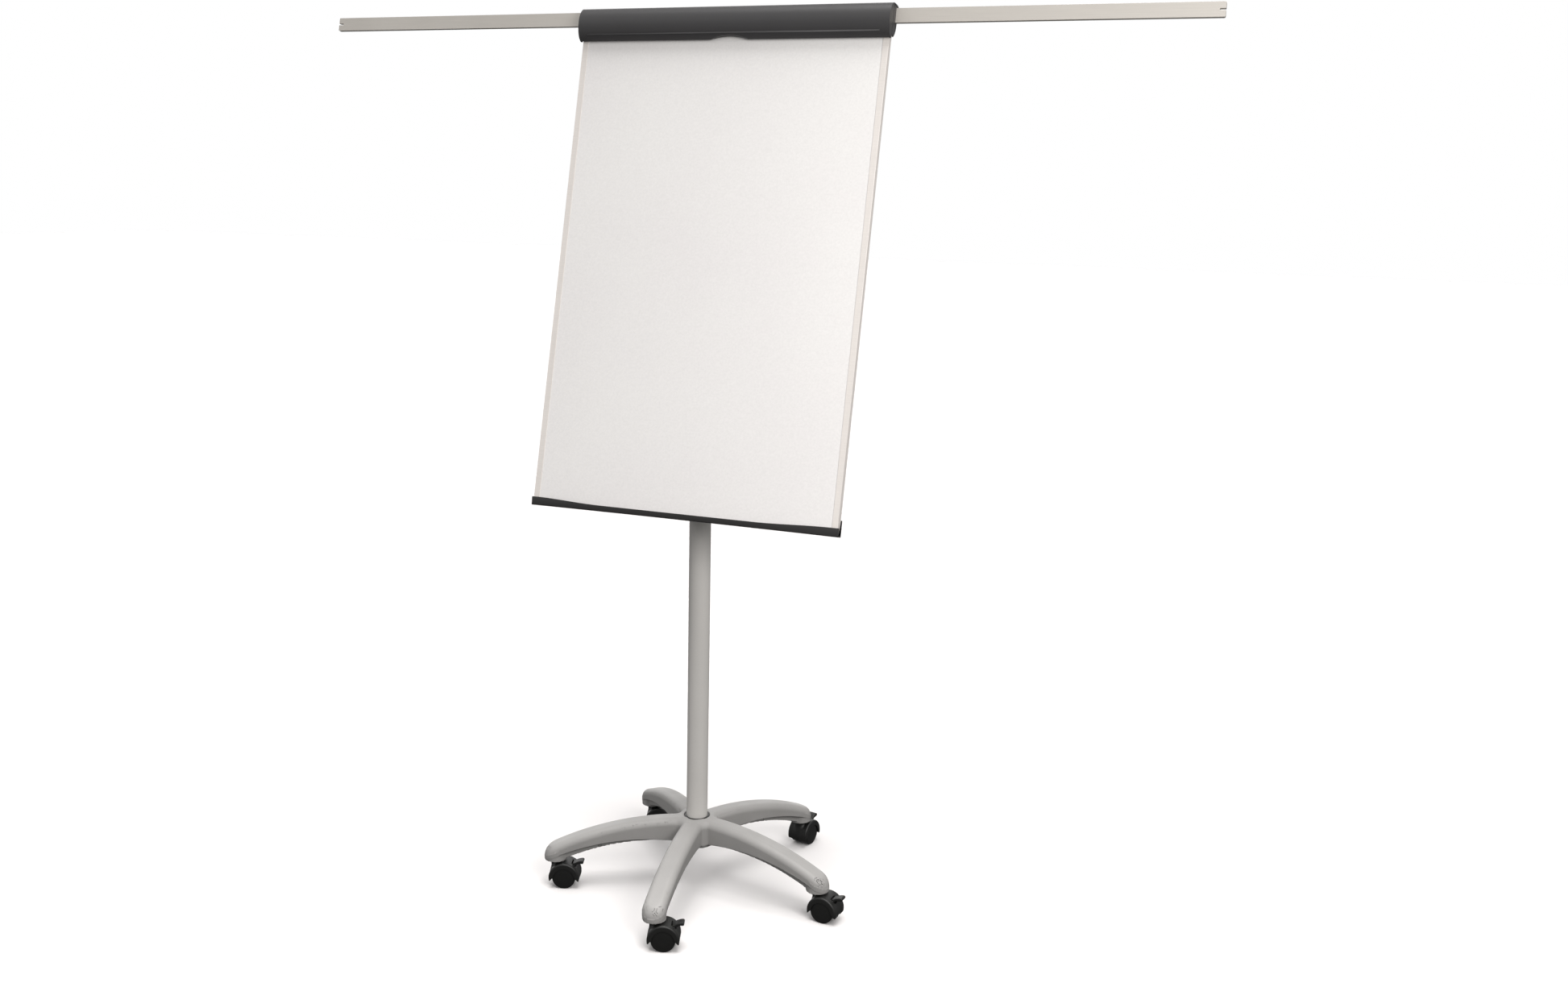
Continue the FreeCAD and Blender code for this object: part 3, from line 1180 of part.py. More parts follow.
def cover_shell(half):
    """Curved wall of the cover, open below and behind."""
    outside = moved(cover_outline(0.0), x=-half).extrude(V(2 * half, 0, 0))
    inside = moved(cover_outline(COVER_WALL), x=-half).extrude(V(2 * half, 0, 0))
    below = COVER_LIP - COVER_NOTCH_HEIGHT
    lip_back = -COVER_LIP_DEPTH - COVER_LIP_WALL
    behind = box(-half, half, -COVER_FACE_GAP, BEYOND, below, HINGE_LEVEL)
    lip_room = box(-half, half, lip_back, BEYOND, below, COVER_LIP + COVER_LIP_CLEAR)
    under = box(-half, half, -BEYOND, BEYOND, 0, COVER_LIP)
    return outside, outside.cut(inside).cut(behind).cut(lip_room).cut(under)


def finger_notch():
    """Arched cut in the middle of the cover's lip."""
    wide = COVER_NOTCH_WIDTH / 2
    foot = COVER_LIP - COVER_NOTCH_HEIGHT
    corners = [V(wide, 0, COVER_LIP), V(wide, 0, foot), V(-wide, 0, foot), V(-wide, 0, COVER_LIP)]
    arch = (corners[3], V(0, 0, COVER_LIP + COVER_NOTCH_HEIGHT), corners[0])
    face = outline([arch] + list(zip(corners, corners[1:])))
    return moved(face, y=-BEYOND).extrude(V(0, 2 * BEYOND, 0))


def make_clamp_cover():
    """Moulded cover: curved shell with end walls, an inner rib for the grip and hinge knuckles."""
    half = HEAD_END
    outside, shell = cover_shell(half)
    face_side = box(-half, half, -BEYOND, -PROFILE_WALL - MOVING_GAP, COVER_LIP, BEYOND)
    over_top = box(-half, half, -BEYOND, BEYOND, RAIL_TOP + COVER_TOP_GAP, BEYOND)
    ends = []
    for x0 in (-half, half - COVER_END_WALL):
        wall = outside.common(box(x0, x0 + COVER_END_WALL, -BEYOND, BEYOND, 0, BEYOND))
        ends.append(wall.common(face_side))
        ends.append(wall.common(over_top))
    rib_top = GRIP_RIB_FOOT + COVER_RIB
    rib = outside.common(box(-half, half, -BEYOND, -GRIP_FRONT, GRIP_RIB_FOOT, rib_top))
    clear = HINGE_KNUCKLE / 2 + KNUCKLE_GAP
    knuckles = []
    for x in HINGE_STATIONS:
        knuckles.append(hinge_knuckle(x - clear - COVER_KNUCKLE, x - clear, False))
        knuckles.append(hinge_knuckle(x + clear, x + clear + COVER_KNUCKLE, False))
    cover = fuse([shell] + ends + [rib] + knuckles)
    near = RAIL_DEPTH - RAIL_WALL
    for x in HINGE_STATIONS:
        cover = cover.cut(rod(HINGE_BARREL_RADIUS + MOVING_GAP, V(x - clear, HINGE_DEPTH, HINGE_LEVEL),
                              V(x + clear, HINGE_DEPTH, HINGE_LEVEL)))
        cover = cover.cut(box(x - clear, x + clear, near, BEYOND, 0, HINGE_LEVEL + KNUCKLE_ROOM))
    spring_top = HINGE_LEVEL + SPRING_RADIUS + MOVING_GAP
    for x0, x1 in spring_places():
        cover = cover.cut(box(x0 - KNUCKLE_GAP, x1 + KNUCKLE_GAP, near, BEYOND, 0, spring_top))
    return on_board(cover.cut(hinge_bore(RUNNING_GAP)).cut(finger_notch()))


def make_grip_strip():
    """Rubber strip on the cover's inner rib that presses on the pad."""
    half = HALF_BOARD - PROFILE_FACE - GRIP_END_GAP
    foot = GRIP_RIB_FOOT - GRIP_BELOW
    return on_board(box(-half, half, -GRIP_FRONT, -GRIP_BACK, foot, GRIP_RIB_FOOT + GRIP_ABOVE))


def end_cap_outline():
    """Side view of an end cap in the y-z plane."""
    low = RAIL_FOOT - END_CAP_DROP
    top = RAIL_TOP
    back = RAIL_DEPTH
    bend = END_CAP_BEND
    heel = V(0, BOARD_THICKNESS + END_CAP_HEEL, low)
    hollow = V(0, BOARD_THICKNESS + END_CAP_HEEL_OUT, low + END_CAP_HEEL_UP)
    return outline([
        (V(0, 0, low), V(0, 0, top)),
        (V(0, 0, top), V(0, back - bend, top)),
        (V(0, back - bend, top), V(0, back - 0.3 * bend, top - 0.3 * bend), V(0, back, top - bend)),
        (V(0, back, top - bend), V(0, back, LANE_FOOT)),
        (V(0, back, LANE_FOOT), hollow, heel),
        (heel, V(0, 0, low)),
    ])


def make_end_caps():
    """Plastic caps on the rail's ends; each has a slot that its own arm runs through."""
    caps = []
    gap = ARM_SLOT_GAP
    low = ARM_MID - ARM_HEIGHT / 2
    for side, lane in ((-1, FRONT_LANE), (1, REAR_LANE)):
        x0 = HALF_BOARD if side > 0 else -HEAD_END
        cap = moved(end_cap_outline(), x=x0).extrude(V(END_CAP_THICKNESS, 0, 0))
        arm = lane + ARM_LANE_CLEARANCE
        far = arm + ARM_THICKNESS + gap
        slot = box(-HEAD_END, HEAD_END, arm - gap, far, low - gap, low + ARM_HEIGHT + gap)
        caps.append(cap.cut(slot))
    return on_board(group(caps))


def make_arm(side):
    """Flat pull-out arm, drawn fully out, with rounded corners and a notch in its end."""
    lane = FRONT_LANE if side < 0 else REAR_LANE
    near = lane + ARM_LANE_CLEARANCE
    low = ARM_MID - ARM_HEIGHT / 2
    arm = box(ARM_TIP - ARM_LENGTH, ARM_TIP, near, near + ARM_THICKNESS, low, low + ARM_HEIGHT)
    corners = [edge for edge in arm.Edges
               if edge.BoundBox.YLength > ARM_THICKNESS / 2 and edge.BoundBox.XMin > ARM_TIP - ARM_CORNER]
    arm = arm.makeFillet(ARM_CORNER, corners)
    half = ARM_NOTCH_HEIGHT / 2
    notch_end = ARM_TIP - ARM_NOTCH_LENGTH
    notch = box(notch_end, ARM_TIP, 0, RAIL_DEPTH, ARM_MID - half, ARM_MID + half)
    round_end = rod(half, V(notch_end, 0, ARM_MID), V(notch_end, RAIL_DEPTH, ARM_MID))
    arm = arm.cut(notch).cut(round_end).cut(shoe_box(lane, 0.0))
    return on_board(arm if side > 0 else mirrored(arm))


def shoe_box(lane, grow):
    """Block at the inner end of an arm that the shoe fills."""
    inner = ARM_TIP - ARM_LENGTH
    near = lane + ARM_LANE_CLEARANCE - grow
    low = ARM_MID - ARM_HEIGHT / 2 - grow
    return box(inner, inner + ARM_SHOE_LENGTH, near, near + ARM_THICKNESS + 2 * grow, low,
               low + ARM_HEIGHT + 2 * grow)


def make_arm_shoe(side):
    """Plastic shoe on an arm's inner end; it is a little larger than the end cap's slot."""
    lane = FRONT_LANE if side < 0 else REAR_LANE
    shoe = shoe_box(lane, ARM_LANE_CLEARANCE - ARM_SHOE_GAP)
    return on_board(shoe if side > 0 else mirrored(shoe))


def peg_head_half():
    """Half of the square head that slides in the peg track."""
    return PEG_DIAMETER / 2 + PEG_HEAD_RIM


def make_pad_peg(side):
    """Pad peg: square head in the track and a round pin that the pad hangs on."""
    x = side * PEG_SPACING / 2
    half = peg_head_half()
    near = RAIL_WALL + PEG_HEAD_GAP
    far = RAIL_WALL + PEG_TRACK_DEPTH - PEG_HEAD_GAP
    head = box(x - half, x + half, near, far, PEG_LEVEL - half, PEG_LEVEL + half)
    neck = rod(PEG_NECK_DIAMETER / 2, V(x, -PEG_SHOULDER, PEG_LEVEL), V(x, far, PEG_LEVEL))
    pin = rod(PEG_DIAMETER / 2, V(x, -PEG_PROJECTION, PEG_LEVEL), V(x, -PEG_SHOULDER, PEG_LEVEL))
    rim = [edge for edge in pin.Edges if edge.BoundBox.YMax < -PEG_PROJECTION + PEG_CHAMFER]
    pin = pin.makeChamfer(PEG_CHAMFER, rim)
    return on_board(fuse([head, neck, pin]))


# ---------------------------------------------------------------- write every node
def all_nodes():
    """Every piece of the easel by node name."""
    nodes = {
        "star_base": make_star_base(),
        "castor_sockets": make_sockets(),
        "castor_stems": make_stems(),
        "base_collar": make_base_collar(),
        "outer_tube": make_outer_tube(),
        "mast_foot": make_mast_foot(),
        "mast_bolt": make_mast_bolt(),
        "guide_bush": make_guide_bush(),
        "clamp_collar": make_clamp_collar(),
        "knob": make_knob(),
        "knob_stud": make_knob_stud(),
        "inner_tube": make_inner_tube(),
        "tube_glide": make_tube_glide(),
        "tube_cap": make_tube_cap(),
        "head_bracket": make_head_bracket(),
        "bracket_bolts": make_bracket_bolts(),
        "spine_channel": make_spine(),
        "board_core": make_board_core(),
        "writing_sheet": make_writing_sheet(),
        "back_sheet": make_back_sheet(),
        "side_profiles": make_side_profiles(),
        "board_screws": make_board_screws(),
        "pen_tray": make_pen_tray(),
        "head_rail": make_head_rail(),
        "end_caps": make_end_caps(),
        "hinge_pins": make_hinge_pins(),
        "clamp_springs": make_clamp_springs(),
        "clamp_cover": make_clamp_cover(),
        "grip_strip": make_grip_strip(),
        "pad_peg_left": make_pad_peg(-1),
        "pad_peg_right": make_pad_peg(1),
        "arm_left": make_arm(-1),
        "arm_right": make_arm(1),
        "arm_shoe_left": make_arm_shoe(-1),
        "arm_shoe_right": make_arm_shoe(1),
    }
    nodes.update(castor_nodes())
    return nodes


def main():
    """Write one STEP file per node."""
    os.makedirs("parts", exist_ok=True)
    for name, shape in all_nodes().items():
        if not shape.isValid():
            print("invalid shape:", name)
        shape.exportStep(os.path.join("parts", name + ".step"))
        print(name, len(shape.Solids), round(shape.Volume))


main()
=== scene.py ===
"""Looks of a mobile flip chart easel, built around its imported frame.

Lengths are in metres and angles in degrees unless a name says otherwise.  The floor is z = 0, +X runs
along the board's width and -Y is the side that is written on.  Board coordinates are (x, forward, up):
forward is the distance in front of the writing face and up the distance up the board from the pen tray
line.  Castor coordinates have +X along the trail, +Y along the axle and the stem's axis at x = 0.
"""
import enum
import json
import logging
import math
from dataclasses import dataclass, field
from typing import Callable, Optional, Sequence

import bmesh
import bpy
import numpy as np
from mathutils import Matrix, Vector


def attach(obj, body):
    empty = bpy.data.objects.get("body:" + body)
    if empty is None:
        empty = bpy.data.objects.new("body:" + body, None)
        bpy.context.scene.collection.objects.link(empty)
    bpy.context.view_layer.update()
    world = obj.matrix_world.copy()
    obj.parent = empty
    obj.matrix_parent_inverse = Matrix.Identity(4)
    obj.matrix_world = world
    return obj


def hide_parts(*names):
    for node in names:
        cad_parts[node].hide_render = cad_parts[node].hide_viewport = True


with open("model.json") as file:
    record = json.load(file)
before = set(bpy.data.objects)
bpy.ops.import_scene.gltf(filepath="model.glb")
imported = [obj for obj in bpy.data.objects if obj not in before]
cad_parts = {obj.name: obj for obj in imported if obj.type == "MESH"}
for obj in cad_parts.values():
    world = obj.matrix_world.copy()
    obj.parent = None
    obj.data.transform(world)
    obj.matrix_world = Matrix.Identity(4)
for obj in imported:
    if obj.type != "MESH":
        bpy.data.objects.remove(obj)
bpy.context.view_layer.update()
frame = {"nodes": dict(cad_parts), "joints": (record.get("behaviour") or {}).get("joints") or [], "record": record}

LOG = logging.getLogger("easel")
MM = 0.001
Array = np.ndarray
Field = Callable[[Array], Array]
Point2 = tuple[float, float]
Point3 = tuple[float, float, float]

MERGE_DISTANCE = 0.001 * MM
SLIVER_LENGTH = 0.0005 * MM
WELD_DISTANCE = 0.01 * MM
STRAIGHT_CORNER = 0.01              # radians; a corner with less turn than this isn't rounded
CORNER_SHARE = 0.49                 # of the shorter neighbouring side that a rounding may take


class Slot(enum.Enum):
    """Material slots of the record that the pieces take their finish from."""

    BASE = "base_grey"
    MAST = "mast_grey"
    CHARCOAL = "charcoal_plastic"
    BLACK = "black_plastic"
    WHEEL = "wheel_black"
    ALUMINIUM = "aluminium"
    ZINC = "zinc_steel"
    ENAMEL = "enamel_white"
    FIBREBOARD = "fibreboard"
    BACKING = "backing_grey"
    RUBBER = "grip_rubber"


class Grain(enum.Enum):
    """Kinds of fine surface relief."""

    SPARK = "spark-eroded mould texture"
    ORANGE_PEEL = "sprayed or enamelled film"
    BRUSHED = "drawn or brushed metal"
    FIBRE = "pressed fibres"


# ---------------------------------------------------------------- finishes
@dataclass
class NodeBoard:
    """A material's node tree with short ways to add nodes."""

    material: bpy.types.Material

    def __post_init__(self) -> None:
        """Start from an empty tree that holds one shader and one output."""
        self.material.use_nodes = True
        self.tree = self.material.node_tree
        self.tree.nodes.clear()
        self.output = self.tree.nodes.new("ShaderNodeOutputMaterial")
        self.shader = self.tree.nodes.new("ShaderNodeBsdfPrincipled")
        self.link(self.shader.outputs["BSDF"], self.output.inputs["Surface"])
        self.place = self.tree.nodes.new("ShaderNodeTexCoord").outputs["Object"]

    def link(self, source: bpy.types.NodeSocket, target: bpy.types.NodeSocket) -> None:
        """Join two sockets."""
        self.tree.links.new(source, target)

    def stretched(self, scale: Point3) -> bpy.types.NodeSocket:
        """Object coordinates scaled by a factor along each axis."""
        sized = self.tree.nodes.new("ShaderNodeMapping")
        sized.inputs["Scale"].default_value = scale
        self.link(self.place, sized.inputs["Vector"])
        return sized.outputs["Vector"]

    def noise(self, scale: float, detail: float = 2.0,
              vector: Optional[bpy.types.NodeSocket] = None) -> bpy.types.NodeSocket:
        """Noise value over the object.

        Args:
            scale: Features per metre, before any stretch in the vector.
            detail: Octaves.
            vector: Coordinates, or None for the object's own.

        Returns:
            The value socket.
        """
        node = self.tree.nodes.new("ShaderNodeTexNoise")
        node.inputs["Scale"].default_value = scale
        node.inputs["Detail"].default_value = detail
        self.link(vector or self.place, node.inputs["Vector"])
        return node.outputs["Fac"]

    def cells(self, scale: float) -> bpy.types.NodeSocket:
        """Distance to the nearest cell centre of a fine cell pattern."""
        node = self.tree.nodes.new("ShaderNodeTexVoronoi")
        node.inputs["Scale"].default_value = scale
        self.link(self.place, node.inputs["Vector"])
        return node.outputs["Distance"]

    def span(self, value: bpy.types.NodeSocket, low: float, high: float,
             start: float = 0.3, end: float = 0.7) -> bpy.types.NodeSocket:
        """Map a value's range onto low to high.

        Args:
            value: Input value.
            low: Result at the start of the range.
            high: Result at its end.
            start: Input value that gives low.
            end: Input value that gives high.

        Returns:
            The mapped value socket.
        """
        node = self.tree.nodes.new("ShaderNodeMapRange")
        node.inputs["From Min"].default_value = start
        node.inputs["From Max"].default_value = end
        node.inputs["To Min"].default_value = low
        node.inputs["To Max"].default_value = high
        self.link(value, node.inputs["Value"])
        return node.outputs["Result"]

    def between(self, amount: bpy.types.NodeSocket, first: Point3, second: Point3) -> bpy.types.NodeSocket:
        """Colour between two colours by an amount."""
        node = self.tree.nodes.new("ShaderNodeMix")
        node.data_type = "RGBA"
        node.inputs[6].default_value = (*first, 1.0)
        node.inputs[7].default_value = (*second, 1.0)
        self.link(amount, node.inputs[0])
        return node.outputs[2]

    def bump(self, heights: Sequence[tuple[bpy.types.NodeSocket, float]]) -> None:
        """Relief from several heights, each with its depth in metres."""
        normal = None
        for height, depth in heights:
            node = self.tree.nodes.new("ShaderNodeBump")
            node.inputs["Distance"].default_value = depth
            self.link(height, node.inputs["Height"])
            if normal is not None:
                self.link(normal, node.inputs["Normal"])
            normal = node.outputs["Normal"]
        self.link(normal, self.shader.inputs["Normal"])


def linear(red: int, green: int, blue: int) -> Point3:
    """Linear colour of an sRGB colour given as three numbers up to 255."""
    def channel(value: int) -> float:
        """One channel's linear value."""
        share = value / 255.0
        return share / 12.92 if share <= 0.04045 else ((share + 0.055) / 1.055) ** 2.4

    return channel(red), channel(green), channel(blue)


@dataclass(frozen=True)
class Finish:
    """A surface finish: two close tones, gloss, and fine relief at the real scale."""

    name: str
    slot: Slot
    tone: tuple[int, int, int]
    drift: tuple[int, int, int]
    rough: tuple[float, float]
    grain: Grain
    grain_scale: float
    grain_depth: float
    metal: float = 0.0
    coat: float = 0.0
    sheen: float = 0.0
    patch_scale: float = 9.0
    patch_relief: float = 1.5
    coat_rough: float = 0.06
    speckle_shade: float = 0.04
    brush_stretch: Point3 = (0.02, 1.0, 1.0)
    fibre_stretch: Point3 = (1.0, 1.0, 0.35)

    def build(self) -> bpy.types.Material:
        """Make the material.

        Returns:
            A node-based material.
        """
        material = bpy.data.materials.new(self.name)
        board = NodeBoard(material)
        shader = board.shader
        shader.inputs["Metallic"].default_value = self.metal
        shader.inputs["Coat Weight"].default_value = self.coat
        shader.inputs["Coat Roughness"].default_value = self.coat_rough
        shader.inputs["Sheen Weight"].default_value = self.sheen
        patches = board.noise(self.patch_scale, 4.0)
        speckle = self.relief(board)
        tone = board.between(board.span(patches, 0.0, 1.0), linear(*self.tone), linear(*self.drift))
        shade = board.tree.nodes.new("ShaderNodeHueSaturation")
        board.link(tone, shade.inputs["Color"])
        shades = board.span(speckle, 1.0 - self.speckle_shade, 1.0 + self.speckle_shade, 0.2, 0.8)
        board.link(shades, shade.inputs["Value"])
        board.link(shade.outputs["Color"], shader.inputs["Base Color"])
        board.link(board.span(patches, *self.rough), shader.inputs["Roughness"])
        board.bump([(speckle, self.grain_depth), (patches, self.grain_depth * self.patch_relief)])
        return material

    def relief(self, board: NodeBoard) -> bpy.types.NodeSocket:
        """Height of the fine relief.

        Args:
            board: Tree to add the nodes to.

        Returns:
            The height socket.
        """
        if self.grain is Grain.SPARK:
            return board.cells(self.grain_scale)
        if self.grain is Grain.BRUSHED:
            return board.noise(self.grain_scale, 3.0, board.stretched(self.brush_stretch))
        if self.grain is Grain.FIBRE:
            return board.noise(self.grain_scale, 6.0, board.stretched(self.fibre_stretch))
        return board.noise(self.grain_scale, 2.0)


BASE_NYLON = Finish("base_grey_nylon", Slot.BASE, (166, 164, 162), (160, 158, 156), (0.44, 0.54),
                    Grain.SPARK, 1400.0, 0.00006, patch_scale=14.0)
MAST_PAINT = Finish("mast_grey_paint", Slot.MAST, (216, 213, 209), (211, 208, 204), (0.34, 0.42),
                    Grain.ORANGE_PEEL, 800.0, 0.00003, coat=0.15)
CHARCOAL = Finish("charcoal_moulding", Slot.CHARCOAL, (64, 63, 64), (59, 58, 59), (0.38, 0.48),
                  Grain.SPARK, 1500.0, 0.00005)
TRAY_CHARCOAL = Finish("tray_moulding", Slot.CHARCOAL, (43, 42, 42), (39, 38, 38), (0.38, 0.48),
                       Grain.SPARK, 1500.0, 0.00005)
BLACK_MOULDING = Finish("black_moulding", Slot.BLACK, (30, 30, 29), (25, 25, 24), (0.36, 0.48),
                        Grain.SPARK, 1700.0, 0.00004)
WHEEL_NYLON = Finish("wheel_nylon", Slot.WHEEL, (27, 27, 26), (22, 22, 21), (0.30, 0.42),
                     Grain.ORANGE_PEEL, 900.0, 0.00003, patch_scale=60.0)
ANODISED = Finish("anodised_aluminium", Slot.ALUMINIUM, (205, 200, 193), (200, 195, 188), (0.42, 0.5),
                  Grain.BRUSHED, 700.0, 0.000002, metal=0.35)
PROFILE_SATIN = Finish("satin_edge_profile", Slot.ALUMINIUM, (236, 230, 225), (231, 225, 220), (0.42, 0.5),
                       Grain.BRUSHED, 700.0, 0.000002, metal=0.1)
ZINC = Finish("zinc_plated_steel", Slot.ZINC, (176, 178, 182), (158, 160, 164), (0.28, 0.42),
              Grain.ORANGE_PEEL, 500.0, 0.00002, metal=1.0, patch_scale=70.0)
ENAMEL = Finish("white_enamel", Slot.ENAMEL, (243, 241, 239), (239, 236, 235), (0.30, 0.36),
                Grain.ORANGE_PEEL, 220.0, 0.000003, coat=0.4, patch_scale=2.5)
FIBREBOARD = Finish("pressed_fibreboard", Slot.FIBREBOARD, (142, 112, 82), (122, 94, 68), (0.75, 0.9),
                    Grain.FIBRE, 700.0, 0.0002)
BACKING = Finish("backing_paper", Slot.BACKING, (196, 196, 196), (186, 187, 188), (0.55, 0.7),
                 Grain.FIBRE, 400.0, 0.00004)
RUBBER = Finish("grip_rubber", Slot.RUBBER, (44, 44, 45), (36, 36, 37), (0.7, 0.82),
                Grain.SPARK, 900.0, 0.00008, sheen=0.1)
FINISHES = (BASE_NYLON, MAST_PAINT, CHARCOAL, TRAY_CHARCOAL, BLACK_MOULDING, WHEEL_NYLON, ANODISED,
            PROFILE_SATIN, ZINC, ENAMEL, FIBREBOARD, BACKING, RUBBER)


class Palette:
    """The materials, made once each."""

    def __init__(self) -> None:
        """Build every finish."""
        self.made = {finish.name: finish.build() for finish in FINISHES}

    def dress(self, piece: bpy.types.Object, finish: Finish) -> None:
        """Give a piece one finish."""
        piece.data.materials.clear()
        piece.data.materials.append(self.made[finish.name])

    def dress_node(self, node: str, finish: Finish) -> None:
        """Give a CAD node one finish in each of its material slots."""
        piece = frame["nodes"][node]
        if not piece.data.materials:
            piece.data.materials.append(None)
        for place in range(len(piece.data.materials)):
            piece.data.materials[place] = self.made[finish.name]


# ---------------------------------------------------------------- places
def mount(name: str) -> dict:
    """The record's mount of that name."""
    return next(entry for entry in frame["record"]["mounts"] if entry["name"] == name)


def joint(name: str) -> dict:
    """The record's joint of that name."""
    return next(entry for entry in frame["joints"] if entry["name"] == name)


@dataclass
class BoardSpace:
    """The leaning board's own coordinates: x, forward of the writing face, up from the pen tray line."""

    tray_end_height: float

    def __post_init__(self) -> None:
        """Read the lean from the writing face and the pen tray line from the tray's foot."""
        face = mount("writing_face")
        self.forward = Vector(face["axis"])
        self.across = Vector((1.0, 0.0, 0.0))
        self.up = self.forward.cross(self.across)
        self.origin = Vector(face["pos_m"])
        low, _ = self.measure("pen_tray")
        self.origin = self.origin + self.up * (low[2] + self.tray_end_height)

    def matrix(self) -> Matrix:
        """Transform from board coordinates to the frame's."""
        turn = Matrix((self.across, self.forward, self.up)).transposed().to_4x4()
        return Matrix.Translation(self.origin) @ turn

    def measure(self, node: str) -> tuple[Array, Array]:
        """Lowest and highest corner of a CAD node in board coordinates.

        Args:
            node: Name of the CAD node.

        Returns:
            Two arrays of three numbers.
        """
        points = np.array([v.co for v in frame["nodes"][node].data.vertices], float)
        points = points - np.array(self.origin)
        local = points @ np.array((self.across, self.forward, self.up)).T
        return local.min(0), local.max(0)


# ---------------------------------------------------------------- mesh tools
def add_object(name: str, mesh: bpy.types.Mesh) -> bpy.types.Object:
    """Put a mesh in the scene under a name."""
    piece = bpy.data.objects.new(name, mesh)
    bpy.context.scene.collection.objects.link(piece)
    return piece


def mesh_of(name: str, points: Sequence[Sequence[float]], faces: Sequence[Sequence[int]]) -> bpy.types.Mesh:
    """Smooth-shaded mesh from points and faces.

    Args:
        name: Name of the mesh.
        points: Vertex places.
        faces: Vertex numbers of each face.

    Returns:
        The mesh, with its normals outward.
    """
    mesh = bpy.data.meshes.new(name)
    mesh.from_pydata([tuple(p) for p in points], [], [tuple(f) for f in faces])
    work = bmesh.new()
    work.from_mesh(mesh)
    bmesh.ops.recalc_face_normals(work, faces=work.faces)
    work.to_mesh(mesh)
    work.free()
    mesh.polygons.foreach_set("use_smooth", [True] * len(mesh.polygons))
    return mesh


def merge_doubles(mesh: bpy.types.Mesh) -> None:
    """Join points that lie together, and drop the faces that this closes up."""
    work = bmesh.new()
    work.from_mesh(mesh)
    bmesh.ops.remove_doubles(work, verts=work.verts, dist=MERGE_DISTANCE)
    bmesh.ops.dissolve_degenerate(work, dist=SLIVER_LENGTH, edges=work.edges)
    bmesh.ops.recalc_face_normals(work, faces=work.faces)
    work.to_mesh(mesh)
    work.free()
    mesh.polygons.foreach_set("use_smooth", [True] * len(mesh.polygons))


def soften(piece: bpy.types.Object, width: float, segments: int = 3, angle: float = 35.0) -> None:
    """Round a piece's sharp edges and keep its flat faces flat in shading.

    Args:
        piece: Object to round.
        width: Width of the rounding.
        segments: Faces across it.
        angle: Edges sharper than this are rounded, in degrees.
    """
    bevel = piece.modifiers.new("soft_edges", "BEVEL")
    bevel.width = width
    bevel.segments = segments
    bevel.limit_method = "ANGLE"
    bevel.angle_limit = math.radians(angle)
    bevel.harden_normals = True
    bevel.miter_outer = "MITER_ARC"


def soften_node(node: str, width: float) -> None:
    """Round the sharp edges of a CAD node that stays in view."""
    piece = frame["nodes"][node]
    weld = piece.modifiers.new("weld", "WELD")
    weld.merge_threshold = WELD_DISTANCE
    soften(piece, width, segments=2)


def rounded(points: Sequence[Point2], radii: Sequence[float], steps: int = 4) -> list[Point2]:
    """Closed outline with each corner rounded by its own radius.

    Args:
        points: Corners in order.
        radii: Rounding radius at each corner; zero repeats the corner, so that the count stays the same.
        steps: Chords along each rounding.

    Returns:
        The outline's points, steps + 1 for each corner.
    """
    result: list[Point2] = []
    count = len(points)
    for i, radius in enumerate(radii):
        corner = Vector(points[i])
        back = Vector(points[i - 1]) - corner
        ahead = Vector(points[(i + 1) % count]) - corner
        reach_limit = CORNER_SHARE * min(back.length, ahead.length)
        turn = back.angle(ahead, 0.0)
        reach = min(radius / math.tan(turn / 2), reach_limit) if turn > STRAIGHT_CORNER else 0.0
        start = corner + back.normalized() * reach
        end = corner + ahead.normalized() * reach
        for step in range(steps + 1):
            share = step / steps
            spot = start.lerp(corner, share).lerp(corner.lerp(end, share), share)
            result.append((spot.x, spot.y))
    return result


def loft(name: str, rings: Sequence[Sequence[Point3]], place: Matrix) -> bpy.types.Object:
    """Closed skin through rings of equal count, with a flat cap on each end.

    Args:
        name: Name of the piece.
        rings: Closed outlines in order along the piece.
        place: Transform from the rings' coordinates to the frame's.

    Returns:
        The piece.
    """
    count = len(rings[0])
    points = [place @ Vector(p) for ring in rings for p in ring]
    faces: list[Sequence[int]] = []
    for level in range(len(rings) - 1):
        base = level * count
        for i in range(count):
            j = (i + 1) % count
            faces.append((base + i, base + j, base + count + j, base + count + i))
    faces.append(tuple(range(count)))
    faces.append(tuple(range((len(rings) - 1) * count, len(rings) * count)))
    return add_object(name, mesh_of(name, points, faces))


def lathe(name: str, profile: Sequence[Point2], place: Matrix, segments: int = 96) -> bpy.types.Object:
    """Closed ring turned from a closed profile about the local Z axis.

    Args:
        name: Name of the piece.
        profile: Closed outline of (radius, height) points.
        place: Transform from lathe coordinates to the frame's.
        segments: Faces around the axis.

    Returns:
        The piece.
    """
    count = len(profile)
    points = []
    for i in range(segments):
        angle = 2 * math.pi * i / segments
        points += [place @ Vector((r * math.cos(angle), r * math.sin(angle), h)) for r, h in profile]
    faces = []
    for i in range(segments):
        base = i * count
        after = (i + 1) % segments * count
        for k in range(count):
            following = (k + 1) % count
            faces.append((base + k, base + following, after + following, after + k))
    mesh = mesh_of(name, points, faces)
    merge_doubles(mesh)
    return add_object(name, mesh)


def plate(name: str, outline: Sequence[Point2], near: float, far: float, place: Matrix) -> bpy.types.Object:
    """Flat piece with a closed outline in x and z, between two depths along y.

    Args:
        name: Name of the piece.
        outline: Closed outline of (x, z) points.
        near: First depth.
        far: Second depth.
        place: Transform to the frame's coordinates.

    Returns:
        The piece.
    """
    rings = [[(x, depth, z) for x, z in outline] for depth in (near, far)]
    return loft(name, rings, place)


